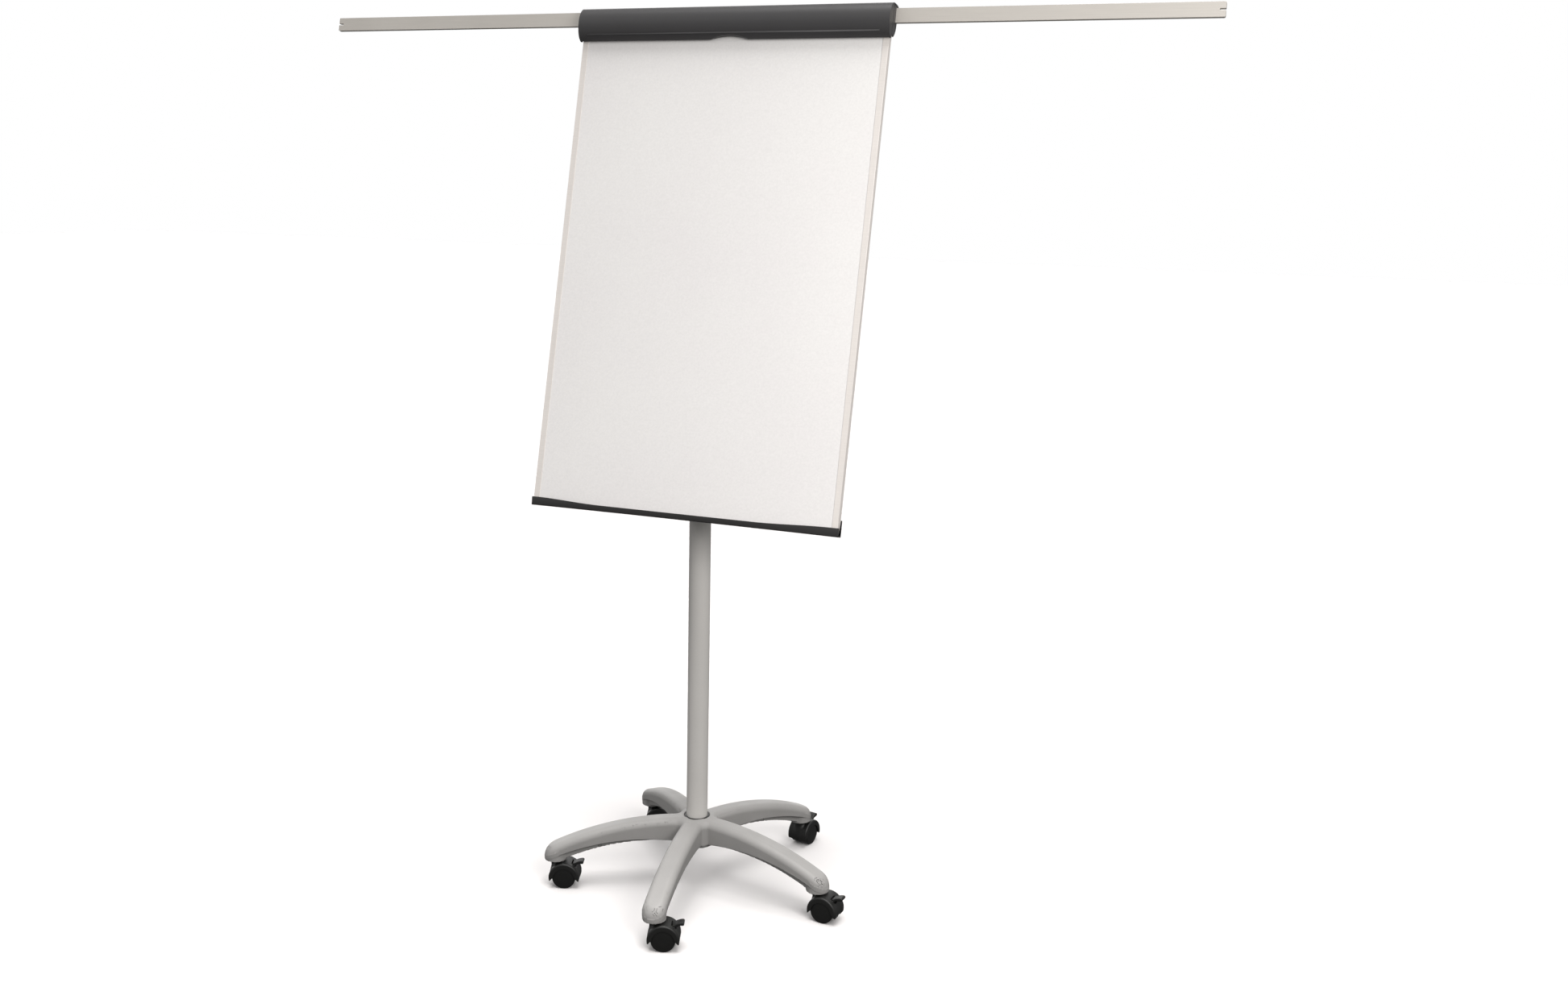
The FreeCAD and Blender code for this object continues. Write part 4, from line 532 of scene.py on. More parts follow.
# ---------------------------------------------------------------- solid fields
def meet(first: Array, second: Array, radius: float) -> Array:
    """Distance to what two solids share, with their common edge rounded."""
    outside = np.hypot(np.maximum(first + radius, 0.0), np.maximum(second + radius, 0.0))
    return np.minimum(np.maximum(first, second), -radius) + outside


def join(first: Array, second: Array, radius: float) -> Array:
    """Distance to two solids together, with a fillet where they meet."""
    return -meet(-first, -second, radius)


def field_slope(solid: Field, points: Array, reach: float) -> Array:
    """Direction in which a field grows at each point."""
    slope = np.empty_like(points)
    for axis in range(3):
        step = np.zeros(3)
        step[axis] = reach
        slope[:, axis] = solid(points + step) - solid(points - step)
    return slope / (2 * reach)


@dataclass(frozen=True)
class Moulder:
    """Turns a solid given as a distance field into a smooth mesh, with vertices placed on the surface."""

    cell: float
    keep: float = 0.5
    settle_rounds: int = 4
    quick_factor: float = 1.6
    settle_probe: float = 0.1
    weakest_slope: float = 0.2
    longest_step: float = 0.5
    normal_probe: float = 0.25

    def mesh(self, name: str, solid: Field, low: Point3, high: Point3) -> bpy.types.Mesh:
        """Mesh of a field's surface.

        Args:
            name: Name of the mesh.
            solid: Signed distance, negative inside.
            low: Lowest corner of the room to search.
            high: Highest corner.

        Returns:
            The mesh, with normals from the field.
        """
        cell = self.cell * 1.0
        axes = [np.arange(low[i] - cell, high[i] + 2 * cell, cell) for i in range(3)]
        grid = np.stack(np.meshgrid(*axes, indexing="ij"), -1)
        value = solid(grid.reshape(-1, 3)).reshape(grid.shape[:3])
        points, faces = self.net(value)
        points = points * cell + np.array([axis[0] for axis in axes])
        points = self.settle(solid, points, cell)
        mesh = bpy.data.meshes.new(name)
        mesh.from_pydata(points.tolist(), [], faces.tolist())
        mesh = self.lighten(mesh)
        return self.finish(mesh, solid, cell)

    def net(self, value: Array) -> tuple[Array, Array]:
        """Vertices and quads of the surface net of a grid of values.

        Args:
            value: Field values on a regular grid.

        Returns:
            Vertex places in grid steps, and four vertex numbers for each quad.
        """
        inside = value < 0
        cells = tuple(n - 1 for n in value.shape)
        total = np.zeros((*cells, 3))
        count = np.zeros(cells)
        edges = []
        for axis in range(3):
            first = [slice(None)] * 3
            second = [slice(None)] * 3
            first[axis] = slice(0, -1)
            second[axis] = slice(1, None)
            start, end = value[tuple(first)], value[tuple(second)]
            spots = np.argwhere(inside[tuple(first)] != inside[tuple(second)])
            here, there = start[tuple(spots.T)], end[tuple(spots.T)]
            places = spots.astype(float)
            places[:, axis] += here / (here - there)
            sides = [i for i in range(3) if i != axis]
            corners = []
            for shift in ((0, 0), (1, 0), (1, 1), (0, 1)):
                home = spots.copy()
                home[:, sides[0]] -= shift[0]
                home[:, sides[1]] -= shift[1]
                np.add.at(total, tuple(home.T), places)
                np.add.at(count, tuple(home.T), 1.0)
                corners.append(home)
            edges.append((corners, (here < 0) != (axis == 1)))
        number = np.full(cells, -1)
        used = count > 0
        number[used] = np.arange(int(used.sum()))
        points = total[used] / count[used][:, None]
        faces = []
        for corners, forward in edges:
            quad = np.stack([number[tuple(home.T)] for home in corners], 1)
            faces.append(np.where(forward[:, None], quad, quad[:, ::-1]))
        return points, np.concatenate(faces)

    def settle(self, solid: Field, points: Array, cell: float) -> Array:
        """Move vertices onto the field's surface, in a few bounded steps.

        Args:
            solid: The field.
            points: Vertex places.
            cell: Grid step.

        Returns:
            The settled places.
        """
        for _ in range(self.settle_rounds):
            slope = field_slope(solid, points, cell * self.settle_probe)
            strength = np.maximum((slope ** 2).sum(1), self.weakest_slope)
            step = -(solid(points) / strength)[:, None] * slope
            points = points + np.clip(step, -cell * self.longest_step, cell * self.longest_step)
        return points

    def lighten(self, mesh: bpy.types.Mesh) -> bpy.types.Mesh:
        """Collapse edges where the surface is nearly flat, to a share of the faces."""
        if self.keep >= 1.0:
            return mesh
        piece = add_object("lighten", mesh)
        modifier = piece.modifiers.new("fewer", "DECIMATE")
        modifier.ratio = self.keep
        depsgraph = bpy.context.evaluated_depsgraph_get()
        lighter = bpy.data.meshes.new_from_object(piece.evaluated_get(depsgraph))
        bpy.data.objects.remove(piece)
        return lighter

    def finish(self, mesh: bpy.types.Mesh, solid: Field, cell: float) -> bpy.types.Mesh:
        """Smooth shading with the field's own normals.

        Args:
            mesh: The mesh.
            solid: The field.
            cell: Grid step.

        Returns:
            The same mesh.
        """
        mesh.polygons.foreach_set("use_smooth", [True] * len(mesh.polygons))
        points = np.array([v.co for v in mesh.vertices], float)
        slope = field_slope(solid, points, cell * self.normal_probe)
        length = np.maximum(np.linalg.norm(slope, axis=1), 1e-9)
        mesh.normals_split_custom_set_from_vertices((slope / length[:, None]).tolist())
        return mesh


# ---------------------------------------------------------------- base
@dataclass
class StarBase:
    """Moulded five-leg base: arched legs, hollow below with two keel ribs, and a hub for the mast."""

    legs: int = 5
    stem_circle: float = 315.0 * MM
    tip_radius: float = 25.0 * MM
    root_half: float = 23.5 * MM
    back_radius: float = 661.0 * MM
    back_crest: float = 45.0 * MM
    back_height: float = 160.0 * MM
    under_radius: float = 520.0 * MM
    under_crest: float = 120.0 * MM
    under_height: float = 114.0 * MM
    shoulder: float = 15.0 * MM
    wall: float = 3.6 * MM
    lip_round: float = 1.2 * MM
    rim_height: float = 64.0 * MM
    keel_place: float = 12.5 * MM
    keel_half: float = 1.5 * MM
    keel_radius: float = 510.0 * MM
    keel_crest: float = 96.0 * MM
    keel_height: float = 108.1 * MM
    hub_radius: float = 44.0 * MM
    hub_top: float = 158.0 * MM
    hub_foot: float = 99.0 * MM
    collar_seat: float = 28.5 * MM
    hub_fillet: float = 14.0 * MM
    hub_fillet_share: float = 0.7
    hub_crown: float = 1.5 * MM
    hub_top_round: float = 14.0 * MM
    hub_foot_round: float = 6.0 * MM
    seat_round: float = 0.8 * MM
    keel_fillet: float = 0.8 * MM
    cup_recess: float = 3.0 * MM
    cup_fillet: float = 2.0 * MM
    bore: float = 23.6 * MM
    bore_foot: float = 107.0 * MM
    margin: float = 2.0 * MM
    cell: float = 2.3 * MM
    keep: float = 0.45

    def start_angle(self) -> float:
        """Plan direction of the first leg in radians, from its castor's stem."""
        stem = Vector(joint("castor_left_swivel")["pos_m"])
        return math.atan2(stem.y, stem.x)

    def leg(self, x: Array, y: Array, z: Array) -> Array:
        """Distance to one leg that runs along +X.

        Args:
            x: Distance along the leg.
            y: Distance across.
            z: Height.

        Returns:
            The distance.
        """
        share = np.clip(x / self.stem_circle, 0.0, 1.0)
        half = self.root_half + (self.tip_radius - self.root_half) * share
        beyond = np.maximum(x - self.stem_circle, 0.0)
        plan = np.hypot(beyond, y) - half
        back = np.hypot(x - self.back_crest, z - (self.back_height - self.back_radius)) - self.back_radius
        outer = meet(plan, back, self.shoulder)
        under = self.under_radius - np.hypot(x - self.under_crest,
                                             z - (self.under_height - self.under_radius))
        floor = self.rim_height - z
        cup_radius = np.hypot(x - self.stem_circle, y)
        cup = np.maximum(cup_radius - self.tip_radius, back + self.shoulder)
        hollow = meet(plan + self.wall, back + self.wall, self.shoulder - self.wall)
        shell = np.maximum(outer, -hollow)
        shell = meet(shell, under, self.lip_round)
        keel = self.keel_radius - np.hypot(x - self.keel_crest, z - (self.keel_height - self.keel_radius))
        ribs = np.abs(np.abs(y) - self.keel_place) - self.keel_half
        ribs = meet(np.maximum(ribs, outer + self.wall / 2), keel, self.lip_round)
        ribs = np.maximum(ribs, x - self.stem_circle)
        shell = join(shell, ribs, self.keel_fillet)
        cup_wall = np.maximum(np.maximum(cup_radius - self.tip_radius, outer), floor)
        recess = np.maximum(cup_radius - self.tip_radius + self.wall, z - self.rim_height - self.cup_recess)
        cup_wall = meet(cup_wall, -recess, self.lip_round)
        cup_wall = np.maximum(cup_wall, cup)
        return join(shell, cup_wall, self.cup_fillet)

    def solid(self, points: Array) -> Array:
        """Distance to the whole base."""
        x, y, z = points.T
        radius = np.hypot(x, y)
        sector = 2 * math.pi / self.legs
        angle = np.arctan2(y, x) - self.start_angle()
        angle = angle - sector * np.round(angle / sector)
        total = None
        for shift in (0.0, sector, -sector):
            shell = self.leg(radius * np.cos(angle + shift), radius * np.sin(angle + shift), z)
            total = shell if total is None else join(total, shell, self.hub_fillet)
        hub = meet(radius - self.hub_radius, z - self.hub_top - self.hub_crown, self.hub_top_round)
        hub = meet(hub, self.hub_foot - z, self.hub_foot_round)
        total = join(total, hub, self.hub_fillet * self.hub_fillet_share)
        seat = np.maximum(radius - self.collar_seat, self.hub_top - z)
        total = meet(total, -seat, self.seat_round)
        bore = np.maximum(radius - self.bore, self.bore_foot - z)
        return np.maximum(total, -bore)

    def build(self, palette: Palette) -> None:
        """Make the base from the hub to the castor cups and dress it."""
        reach = self.stem_circle + self.tip_radius + self.margin
        low = (-reach, -reach, self.rim_height - self.margin)
        high = (reach, reach, self.back_height + self.margin)
        moulder = Moulder(cell=self.cell, keep=self.keep)
        mesh = moulder.mesh("star_base_moulding", self.solid, low, high)
        piece = add_object("star_base_moulding", mesh)
        palette.dress(piece, BASE_NYLON)
        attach(piece, "base")
        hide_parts("star_base")
        LOG.info("star base: %d faces", len(mesh.polygons))


# ---------------------------------------------------------------- castors
@dataclass
class Castor:
    """Twin-wheel castor: hood with pointed skirts, stem boss, two wheels and a brake lever."""

    name: str
    hood_radius: float = 34.0 * MM
    shell: float = 4.0 * MM
    side_wall: float = 1.8 * MM
    half_width: float = 25.3 * MM
    edge_round: float = 4.0 * MM
    web_half: float = 5.5 * MM
    window_radius: float = 23.5 * MM
    window_drop: float = 2.0 * MM
    window_round: float = 0.9 * MM
    room_round: float = 0.5 * MM
    boss_radius: float = 10.5 * MM
    boss_top: float = 61.8 * MM
    boss_foot: float = 6.0 * MM
    boss_round: float = 1.5 * MM
    boss_fillet: float = 5.0 * MM
    skirt_tip: float = -9.0 * MM
    skirt_slope: float = 0.9
    skirt_round: float = 0.8 * MM
    web_foot: float = -6.0 * MM
    wheel_radius: float = 26.0 * MM
    wheel_inner: float = 6.1 * MM
    wheel_outer: float = 23.1 * MM
    wheel_bore: float = 3.1 * MM
    wheel_hub: float = 9.0 * MM
    hub_recess: float = 1.0 * MM
    face_wall: float = 0.7 * MM
    rim_step: float = 1.4 * MM
    rim_width: float = 3.2 * MM
    face_step: float = 0.4 * MM
    dome_radius: float = 12.0 * MM
    dome_edge: float = 0.35 * MM
    dome_rise: float = 0.5 * MM
    lever_half: float = 10.0 * MM
    lever_radius: float = 4.0 * MM
    lever_reach: float = 19.0 * MM
    lever_rest: float = 16.0
    lever_half_travel: float = 9.0
    lever_lift: float = 8.0 * MM
    lever_droop: float = 6.5 * MM
    lever_waist: float = 1.1 * MM
    lever_swell: float = 0.8 * MM
    lever_fillet: float = 3.0 * MM
    lever_edge: float = 1.6 * MM
    slot_gap: float = 0.8 * MM
    slot_side_gap: float = 0.6 * MM
    slot_flare: float = 0.17
    slot_round: float = 0.6 * MM

    def __post_init__(self) -> None:
        """Read where the stem, axle and lever pin are."""
        self.stem = Vector(joint(self.name + "_swivel")["pos_m"])
        roll = joint(self.name + "_roll_left")
        pin = joint(self.name + "_brake")
        self.axle = Vector(roll["pos_m"])
        across = Vector(roll["axis"])
        along = across.cross(Vector((0.0, 0.0, 1.0)))
        turn = Matrix((along, across, Vector((0.0, 0.0, 1.0)))).transposed().to_4x4()
        self.place = Matrix.Translation(Vector((self.stem.x, self.stem.y, 0.0))) @ turn
        home = self.place.inverted()
        self.axle_at = home @ self.axle
        self.pin_at = home @ Vector(pin["pos_m"])

    def hood(self, points: Array) -> Array:
        """Distance to the hood with its web and stem boss, in castor coordinates."""
        x, y, z = points.T
        across = np.abs(y)
        dx, dz = x - self.axle_at.x, z - self.axle_at.z
        reach = np.hypot(dx, dz)
        slab = meet(reach - self.hood_radius, across - self.half_width, self.edge_round)
        boss = meet(np.hypot(x, y) - self.boss_radius, z - self.boss_top, self.boss_round)
        boss = np.maximum(boss, self.axle_at.z + self.boss_foot - z)
        body = join(slab, boss, self.boss_fillet)
        room = np.maximum(reach - (self.hood_radius - self.shell), self.web_half - across)
        room = np.maximum(room, across - (self.half_width - self.side_wall))
        window = np.hypot(dx, dz + self.window_drop) - self.window_radius
        window = np.maximum(window, self.web_half - across)
        body = meet(body, -room, self.room_round)
        body = meet(body, -window, self.window_round)
        slope = self.skirt_slope
        skirt = (self.skirt_tip + slope * (self.hood_radius - reach) - dz) / math.hypot(1.0, slope)
        body = meet(body, np.where(across > self.web_half, skirt, self.web_foot - dz), self.skirt_round)
        along, rise = self.lever_axes(x, z, self.lever_rest - self.lever_half_travel)
        slot = np.abs(rise) - (self.lever_radius + self.slot_gap) - np.maximum(along, 0.0) * self.slot_flare
        slot = np.maximum(slot, -along - self.lever_radius - self.slot_gap)
        slot = np.maximum(slot, across - self.lever_half - self.slot_side_gap)
        return meet(body, -slot, self.slot_round)

    def lever_axes(self, x: Array, z: Array, tilt: float) -> tuple[Array, Array]:
        """Distances along and above a line from the lever's pin.

        Args:
            x: Places along the trail.
            z: Heights.
            tilt: The line's rise in degrees.

        Returns:
            Distances along the line and above it.
        """
        px, pz = x - self.pin_at.x, z - self.pin_at.z
        turn = math.radians(tilt)
        along = px * math.cos(turn) + pz * math.sin(turn)
        rise = -px * math.sin(turn) + pz * math.cos(turn)
        return along, rise

    def lever(self, points: Array) -> Array:
        """Distance to the brake lever, in castor coordinates."""
        x, y, z = points.T
        along, rise = self.lever_axes(x, z, self.lever_rest)
        share = np.clip(along / self.lever_reach, 0.0, 1.0)
        middle = self.lever_lift * share - self.lever_droop * share ** 2
        half = self.lever_radius - self.lever_waist + self.lever_swell * share ** 2
        clipped = np.clip(along, 0.0, self.lever_reach)
        tongue = np.hypot(along - clipped, rise - middle) - half
        barrel = np.hypot(along, rise) - self.lever_radius
        side = join(tongue, barrel, self.lever_fillet)
        return meet(side, np.abs(y) - self.lever_half, self.lever_edge)

    def wheel_profile(self) -> list[Point2]:
        """Closed profile of one wheel: (radius, distance from the castor's middle plane)."""
        tread, inner, face = self.wheel_radius, self.wheel_inner, self.wheel_outer
        bore, hub, rim = self.wheel_bore, self.wheel_hub, tread - self.rim_width
        pocket = face - self.face_wall
        corners = [(0.0, pocket), (bore, pocket), (bore, inner + self.hub_recess),
                   (hub, inner + self.hub_recess), (hub, inner), (tread, inner),
                   (tread, face - self.rim_step), (rim, face - self.rim_step), (rim, face - self.face_step),
                   (self.dome_radius, face + self.dome_edge), (0.0, face + self.dome_rise)]
        radii = [0.0, 0.0, 0.0, 0.0, 0.5 * MM, 2.2 * MM, 2.4 * MM, 0.3 * MM, 0.9 * MM, 20.0 * MM, 0.0]
        return rounded(corners, radii, 5)

    def build(self, palette: Palette, hood_mesh: bpy.types.Mesh, lever_mesh: bpy.types.Mesh) -> None:
        """Place this castor's pieces and dress them.

        Args:
            palette: Materials.
            hood_mesh: Hood in castor coordinates.
            lever_mesh: Lever in castor coordinates.
        """
        for mesh, label, body, node in (
            (hood_mesh, "_hood_moulding", self.name, "_hood"),
            (lever_mesh, "_lever_moulding", self.name + "_lever", "_brake_lever"),
        ):
            copy = mesh.copy()
            copy.transform(self.place)
            piece = add_object(self.name + label, copy)
            palette.dress(piece, BLACK_MOULDING)
            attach(piece, body)
            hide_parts(self.name + node)
        for side, label in ((1.0, "left"), (-1.0, "right")):
            axle = Matrix.Translation(self.axle_at) @ Matrix.Rotation(math.radians(-90.0 * side), 4, "X")
            wheel = lathe(f"{self.name}_wheel_{label}_turned", self.wheel_profile(), self.place @ axle)
            palette.dress(wheel, WHEEL_NYLON)
            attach(wheel, f"{self.name}_wheel_{label}")
            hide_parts(f"{self.name}_wheel_{label}")
        palette.dress_node(self.name + "_pins", ZINC)
        LOG.info("castor %s placed", self.name)


CASTOR_NAMES = ("castor_left", "castor_front", "castor_right", "castor_back_right", "castor_back_left")


def build_castors(palette: Palette) -> None:
    """Mould the hood and the lever once, and place all five castors."""
    castors = [Castor(name) for name in CASTOR_NAMES]
    first = castors[0]
    margin = 2 * MM
    axle, reach = first.axle_at, first.hood_radius + margin
    low = (axle.x - reach, -first.half_width - margin, axle.z - 14 * MM)
    high = (axle.x + reach, first.half_width + margin, first.boss_top + margin)
    hood = Moulder(cell=1.0 * MM).mesh("hood", first.hood, low, high)
    pin, span = first.pin_at, first.lever_reach + 10 * MM
    low = (pin.x - 7 * MM, -first.lever_half - margin, pin.z - 8 * MM)
    high = (pin.x + span, first.lever_half + margin, pin.z + 18 * MM)
    lever = Moulder(cell=0.9 * MM).mesh("lever", first.lever, low, high)
    for castor in castors:
        castor.build(palette, hood, lever)


# ---------------------------------------------------------------- board
@dataclass
class PenTray:
    """Trough along the board's foot: bowed lip, taller ends, and a back flange behind the board."""

    end_height: float = 18.5 * MM
    lip_drop: float = 5.0 * MM
    end_length: float = 118.0 * MM
    end_depth: float = 5.0 * MM
    wall: float = 2.6 * MM
    floor: float = 5.5 * MM
    belly: float = 1.2 * MM
    board_depth: float = 13.3 * MM
    board_foot: float = 12.0 * MM
    stations: int = 60
    lip_low_place: float = 1.5
    lip_high_place: float = 0.12
    end_wall_drop: float = 0.2 * MM
    end_wall_step: float = 0.3 * MM
    sheet_gap: float = 1.3 * MM
    least_well: float = 1.2 * MM
    lip_lean: float = 1.2 * MM
    edge_round: float = 0.7 * MM

    def lip_level(self, x: float, half: float) -> float:
        """Height of the lip's top edge at a place along the tray."""
        start = half - self.lip_low_place * self.end_length
        end = half - self.lip_high_place * self.end_length
        share = min(max((end - abs(x)) / (end - start), 0.0), 1.0)
        return -self.lip_drop * share * share * (3.0 - 2.0 * share)

    def ring(self, x: float, half: float, middle: float, back: float, top: float,
             solid: bool) -> list[Point3]:
        """Cross-section at a place along the tray, in board coordinates.

        Args:
            x: Place along the tray.
            half: Half of its length.
            middle: Lip's distance in front of the writing face at mid length.
            back: Back face of the flange, as a negative forward distance.
            top: Top of the back flange.
            solid: True in the end walls.

        Returns:
            The closed outline.
        """
        sag = (x / half) ** 2
        lip = self.end_depth + (middle - self.end_depth) * (1.0 - sag)
        foot = -self.end_height + self.belly * (1.0 - sag)
        level = self.lip_level(x, half)
        well = level - self.end_wall_drop if solid else foot + self.floor
        slot = -self.board_foot
        front = self.sheet_gap
        inner = max(lip - self.wall, front + self.least_well)
        corners = [
            (lip, level), (lip - self.lip_lean, foot), (back, foot), (back, top), (-self.board_depth, top),
            (-self.board_depth, slot), (front, slot), (front, max(well, slot)), (inner, max(well, slot)),
            (inner, level),
        ]
        radii = [1.0 * MM, 2.2 * MM, 1.5 * MM, 0.8 * MM, 0.5 * MM, 0.0, 0.0, 0.0, 0.8 * MM, 0.9 * MM]
        return [(x, forward, up) for forward, up in rounded(corners, radii, 3)]

    def build(self, palette: Palette, board: BoardSpace) -> None:
        """Make the tray and dress it."""
        low, high = board.measure("pen_tray")
        half = high[0]
        sizes = (half, high[1], low[1], high[2])
        inner = half - self.wall
        step = inner + self.end_wall_step
        angles = [math.pi / 2 * (2 * i / self.stations - 1) for i in range(self.stations + 1)]
        rings = [self.ring(-half, *sizes, solid=True), self.ring(-step, *sizes, solid=True)]
        rings += [self.ring(inner * math.sin(angle), *sizes, solid=False) for angle in angles]
        rings += [self.ring(step, *sizes, solid=True), self.ring(half, *sizes, solid=True)]
        piece = loft("pen_tray_moulding", rings, board.matrix())
        soften(piece, self.edge_round, angle=50.0)
        palette.dress(piece, TRAY_CHARCOAL)
        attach(piece, "board")
        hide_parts("pen_tray")
        LOG.info("pen tray: %d stations", len(rings))


@dataclass
class ClampCover:
    """Hinged clamp cover: bulged front, crowned top, turned-in lip with a finger notch, end walls."""

    front: float = 24.0 * MM
    lip_forward: float = 7.0 * MM
    wall: float = 2.8 * MM
    end_wall: float = 3.0 * MM
    notch_width: float = 85.0 * MM
    notch_height: float = 7.0 * MM
    bend: float = 7.0 * MM
    rear_drop: float = 12.0 * MM
    board_gap: float = 1.9 * MM
    roof_gap: float = 1.3 * MM
    rib_height: float = 3.0 * MM
    rib_clear: float = 0.5 * MM
    rib_round: float = 0.4 * MM
    barrel_radius: float = 3.8 * MM
    barrel_length: float = 14.0 * MM
    barrel_offset: float = 18.4 * MM
    hinge_places: tuple[float, ...] = (-250.0 * MM, 0.0, 250.0 * MM)
    pin_bore: float = 1.6 * MM
    front_guides: tuple[Point2, ...] = (
        (8.5 * MM, 7.0 * MM), (2.5 * MM, 20.0 * MM), (0.0, 37.0 * MM), (3.5 * MM, 56.0 * MM))
    crown_guide: Point2 = (14.0 * MM, 4.0 * MM)
    crown_back: float = -6.0 * MM
    notch_steps: int = 10
    plain_start: float = 60.0 * MM
    plain_end: float = 0.9
    plain_steps: int = 12
    end_step: float = 0.2 * MM
    edge_round: float = 1.6 * MM

    def outer(self, lip: float, top: float, rear: float) -> list[Point2]:
        """Outside of the shell from the lip over the top to the rear edge.

        Args:
            lip: Height of the lip.
            top: Height of the crown.
            rear: Rear face, as a negative forward distance.

        Returns:
            Points of (forward, up).
        """
        guides = [(self.lip_forward, lip)]
        guides += [(self.front - back, lip + rise) for back, rise in self.front_guides]
        guides += [(self.front - self.crown_guide[0], top - self.crown_guide[1]), (self.crown_back, top),
                   (rear + self.bend, top), (rear, top - self.bend), (rear, top - self.rear_drop)]
        return self.curve(guides, 6)

    def curve(self, guides: Sequence[Point2], steps: int) -> list[Point2]:
        """Smooth curve through guide points.

        Args:
            guides: Points that the curve passes through.
            steps: Chords between two guides.

        Returns:
            Points along the curve.
        """
        padded = [guides[0], *guides, guides[-1]]
        result = []
        for i in range(len(guides) - 1):
            p0, p1, p2, p3 = (np.array(p) for p in padded[i:i + 4])
            for step in range(steps):
                t = step / steps
                result.append(tuple(0.5 * (2 * p1 + (p2 - p0) * t + (2 * p0 - 5 * p1 + 4 * p2 - p3) * t ** 2
                                           + (3 * p1 - p0 - 3 * p2 + p3) * t ** 3)))
        result.append(guides[-1])
        return result

    def inner(self, outer: Sequence[Point2]) -> list[Point2]:
        """The outer curve drawn in by the wall, point for point."""
        path = np.array(outer)
        along = np.gradient(path, axis=0)
        along = along / np.linalg.norm(along, axis=1)[:, None]
        inward = np.stack([-along[:, 1], along[:, 0]], 1)
        return [tuple(p) for p in path + inward * self.wall]

    def end_inner(self, outer: Sequence[Point2], roof: float) -> list[Point2]:
        """Inner edge of an end wall, point for point: down the writing face's side and under the roof."""
        result = []
        for forward, up in outer:
            inside_front = forward > self.board_gap and up < roof
            if inside_front:
                result.append((self.board_gap, up))
            else:
                result.append((min(forward, self.board_gap), min(up, roof)))
        return result

    def notch(self, x: float) -> float:
        """Depth of the finger notch at a place along the lip."""
        share = abs(x) / (self.notch_width / 2)
        return self.notch_height * (1.0 - share ** 2) if share < 1.0 else 0.0

    def build(self, palette: Palette, board: BoardSpace) -> None:
        """Make the cover and dress it."""
        low, high = board.measure("clamp_cover")
        half, lip, top, rear = high[0], low[2], high[2], low[1]
        outer = self.outer(lip, top, rear)
        inner = self.inner(outer)
        roof = board.measure("head_rail")[1][2] + self.roof_gap
        wall = self.end_inner(outer, roof)
        span = half - self.end_wall
        count = self.notch_steps
        turns = [math.pi / 2 * i / count for i in range(-count, count + 1)]
        notch_places = [self.notch_width / 2 * math.sin(turn) for turn in turns]
        plain = np.linspace(self.plain_start, self.plain_end * span, self.plain_steps)
        places = [-span, *(-plain[::-1]), *notch_places, *plain, span]
        end_section = [*outer, *reversed(wall)]
        open_section = [*outer, *reversed(inner)]
        rings = [[(x, f, u) for f, u in end_section] for x in (-half, -span - self.end_step)]
        for x in places:
            floor = lip + self.notch(x)
            rings.append([(x, f, max(u, floor)) for f, u in open_section])
        rings += [[(x, f, u) for f, u in end_section] for x in (span + self.end_step, half)]
        piece = loft("clamp_cover_moulding", rings, board.matrix())
        soften(piece, self.edge_round, angle=60.0)
        parts = [piece, self.rib(board, inner), *self.barrels(board)]
        for part in parts:
            palette.dress(part, CHARCOAL)
            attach(part, "cover")
            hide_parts("clamp_cover")
        LOG.info("clamp cover: %d pieces", len(parts))

    def rib(self, board: BoardSpace, inner: Sequence[Point2]) -> bpy.types.Object:
        """Inner rib that holds the rubber grip, from the cover's front to the grip.

        Args:
            board: Board coordinates.
            inner: Inside of the shell.

        Returns:
            The rib.
        """
        low, high = board.measure("grip_strip")
        foot = low[2] + self.rib_clear
        top = foot + self.rib_height
        back = high[1] - self.rib_clear
        front = max(f for f, u in inner if foot <= u <= top + 2 * self.rib_height) + self.wall / 2
        outline = rounded([(back, foot), (front, foot), (front, top), (back, top)], [self.rib_round] * 4, 3)
        rings = [[(x, f, u) for f, u in outline] for x in (low[0], high[0])]
        return loft("clamp_cover_rib", rings, board.matrix())

    def barrels(self, board: BoardSpace) -> list[bpy.types.Object]:
        """Hinge barrels round the pins, one on each side of every rail knuckle."""
        low, high = board.measure("hinge_pins")
        line = Vector((0.0, (low[1] + high[1]) / 2, (low[2] + high[2]) / 2))
        half = self.barrel_length / 2
        profile = rounded([(self.pin_bore, -half), (self.barrel_radius, -half), (self.barrel_radius, half),
                           (self.pin_bore, half)], [0.0, 0.5 * MM, 0.5 * MM, 0.0], 3)
        pieces = []
        places = [x + side * self.barrel_offset for x in self.hinge_places for side in (-1.0, 1.0)]
        for number, x in enumerate(places):
            spot = Matrix.Translation(line + Vector((x, 0.0, 0.0))) @ Matrix.Rotation(math.pi / 2, 4, "Y")
            pieces.append(lathe(f"clamp_cover_barrel_{number}", profile, board.matrix() @ spot, 40))
        return pieces


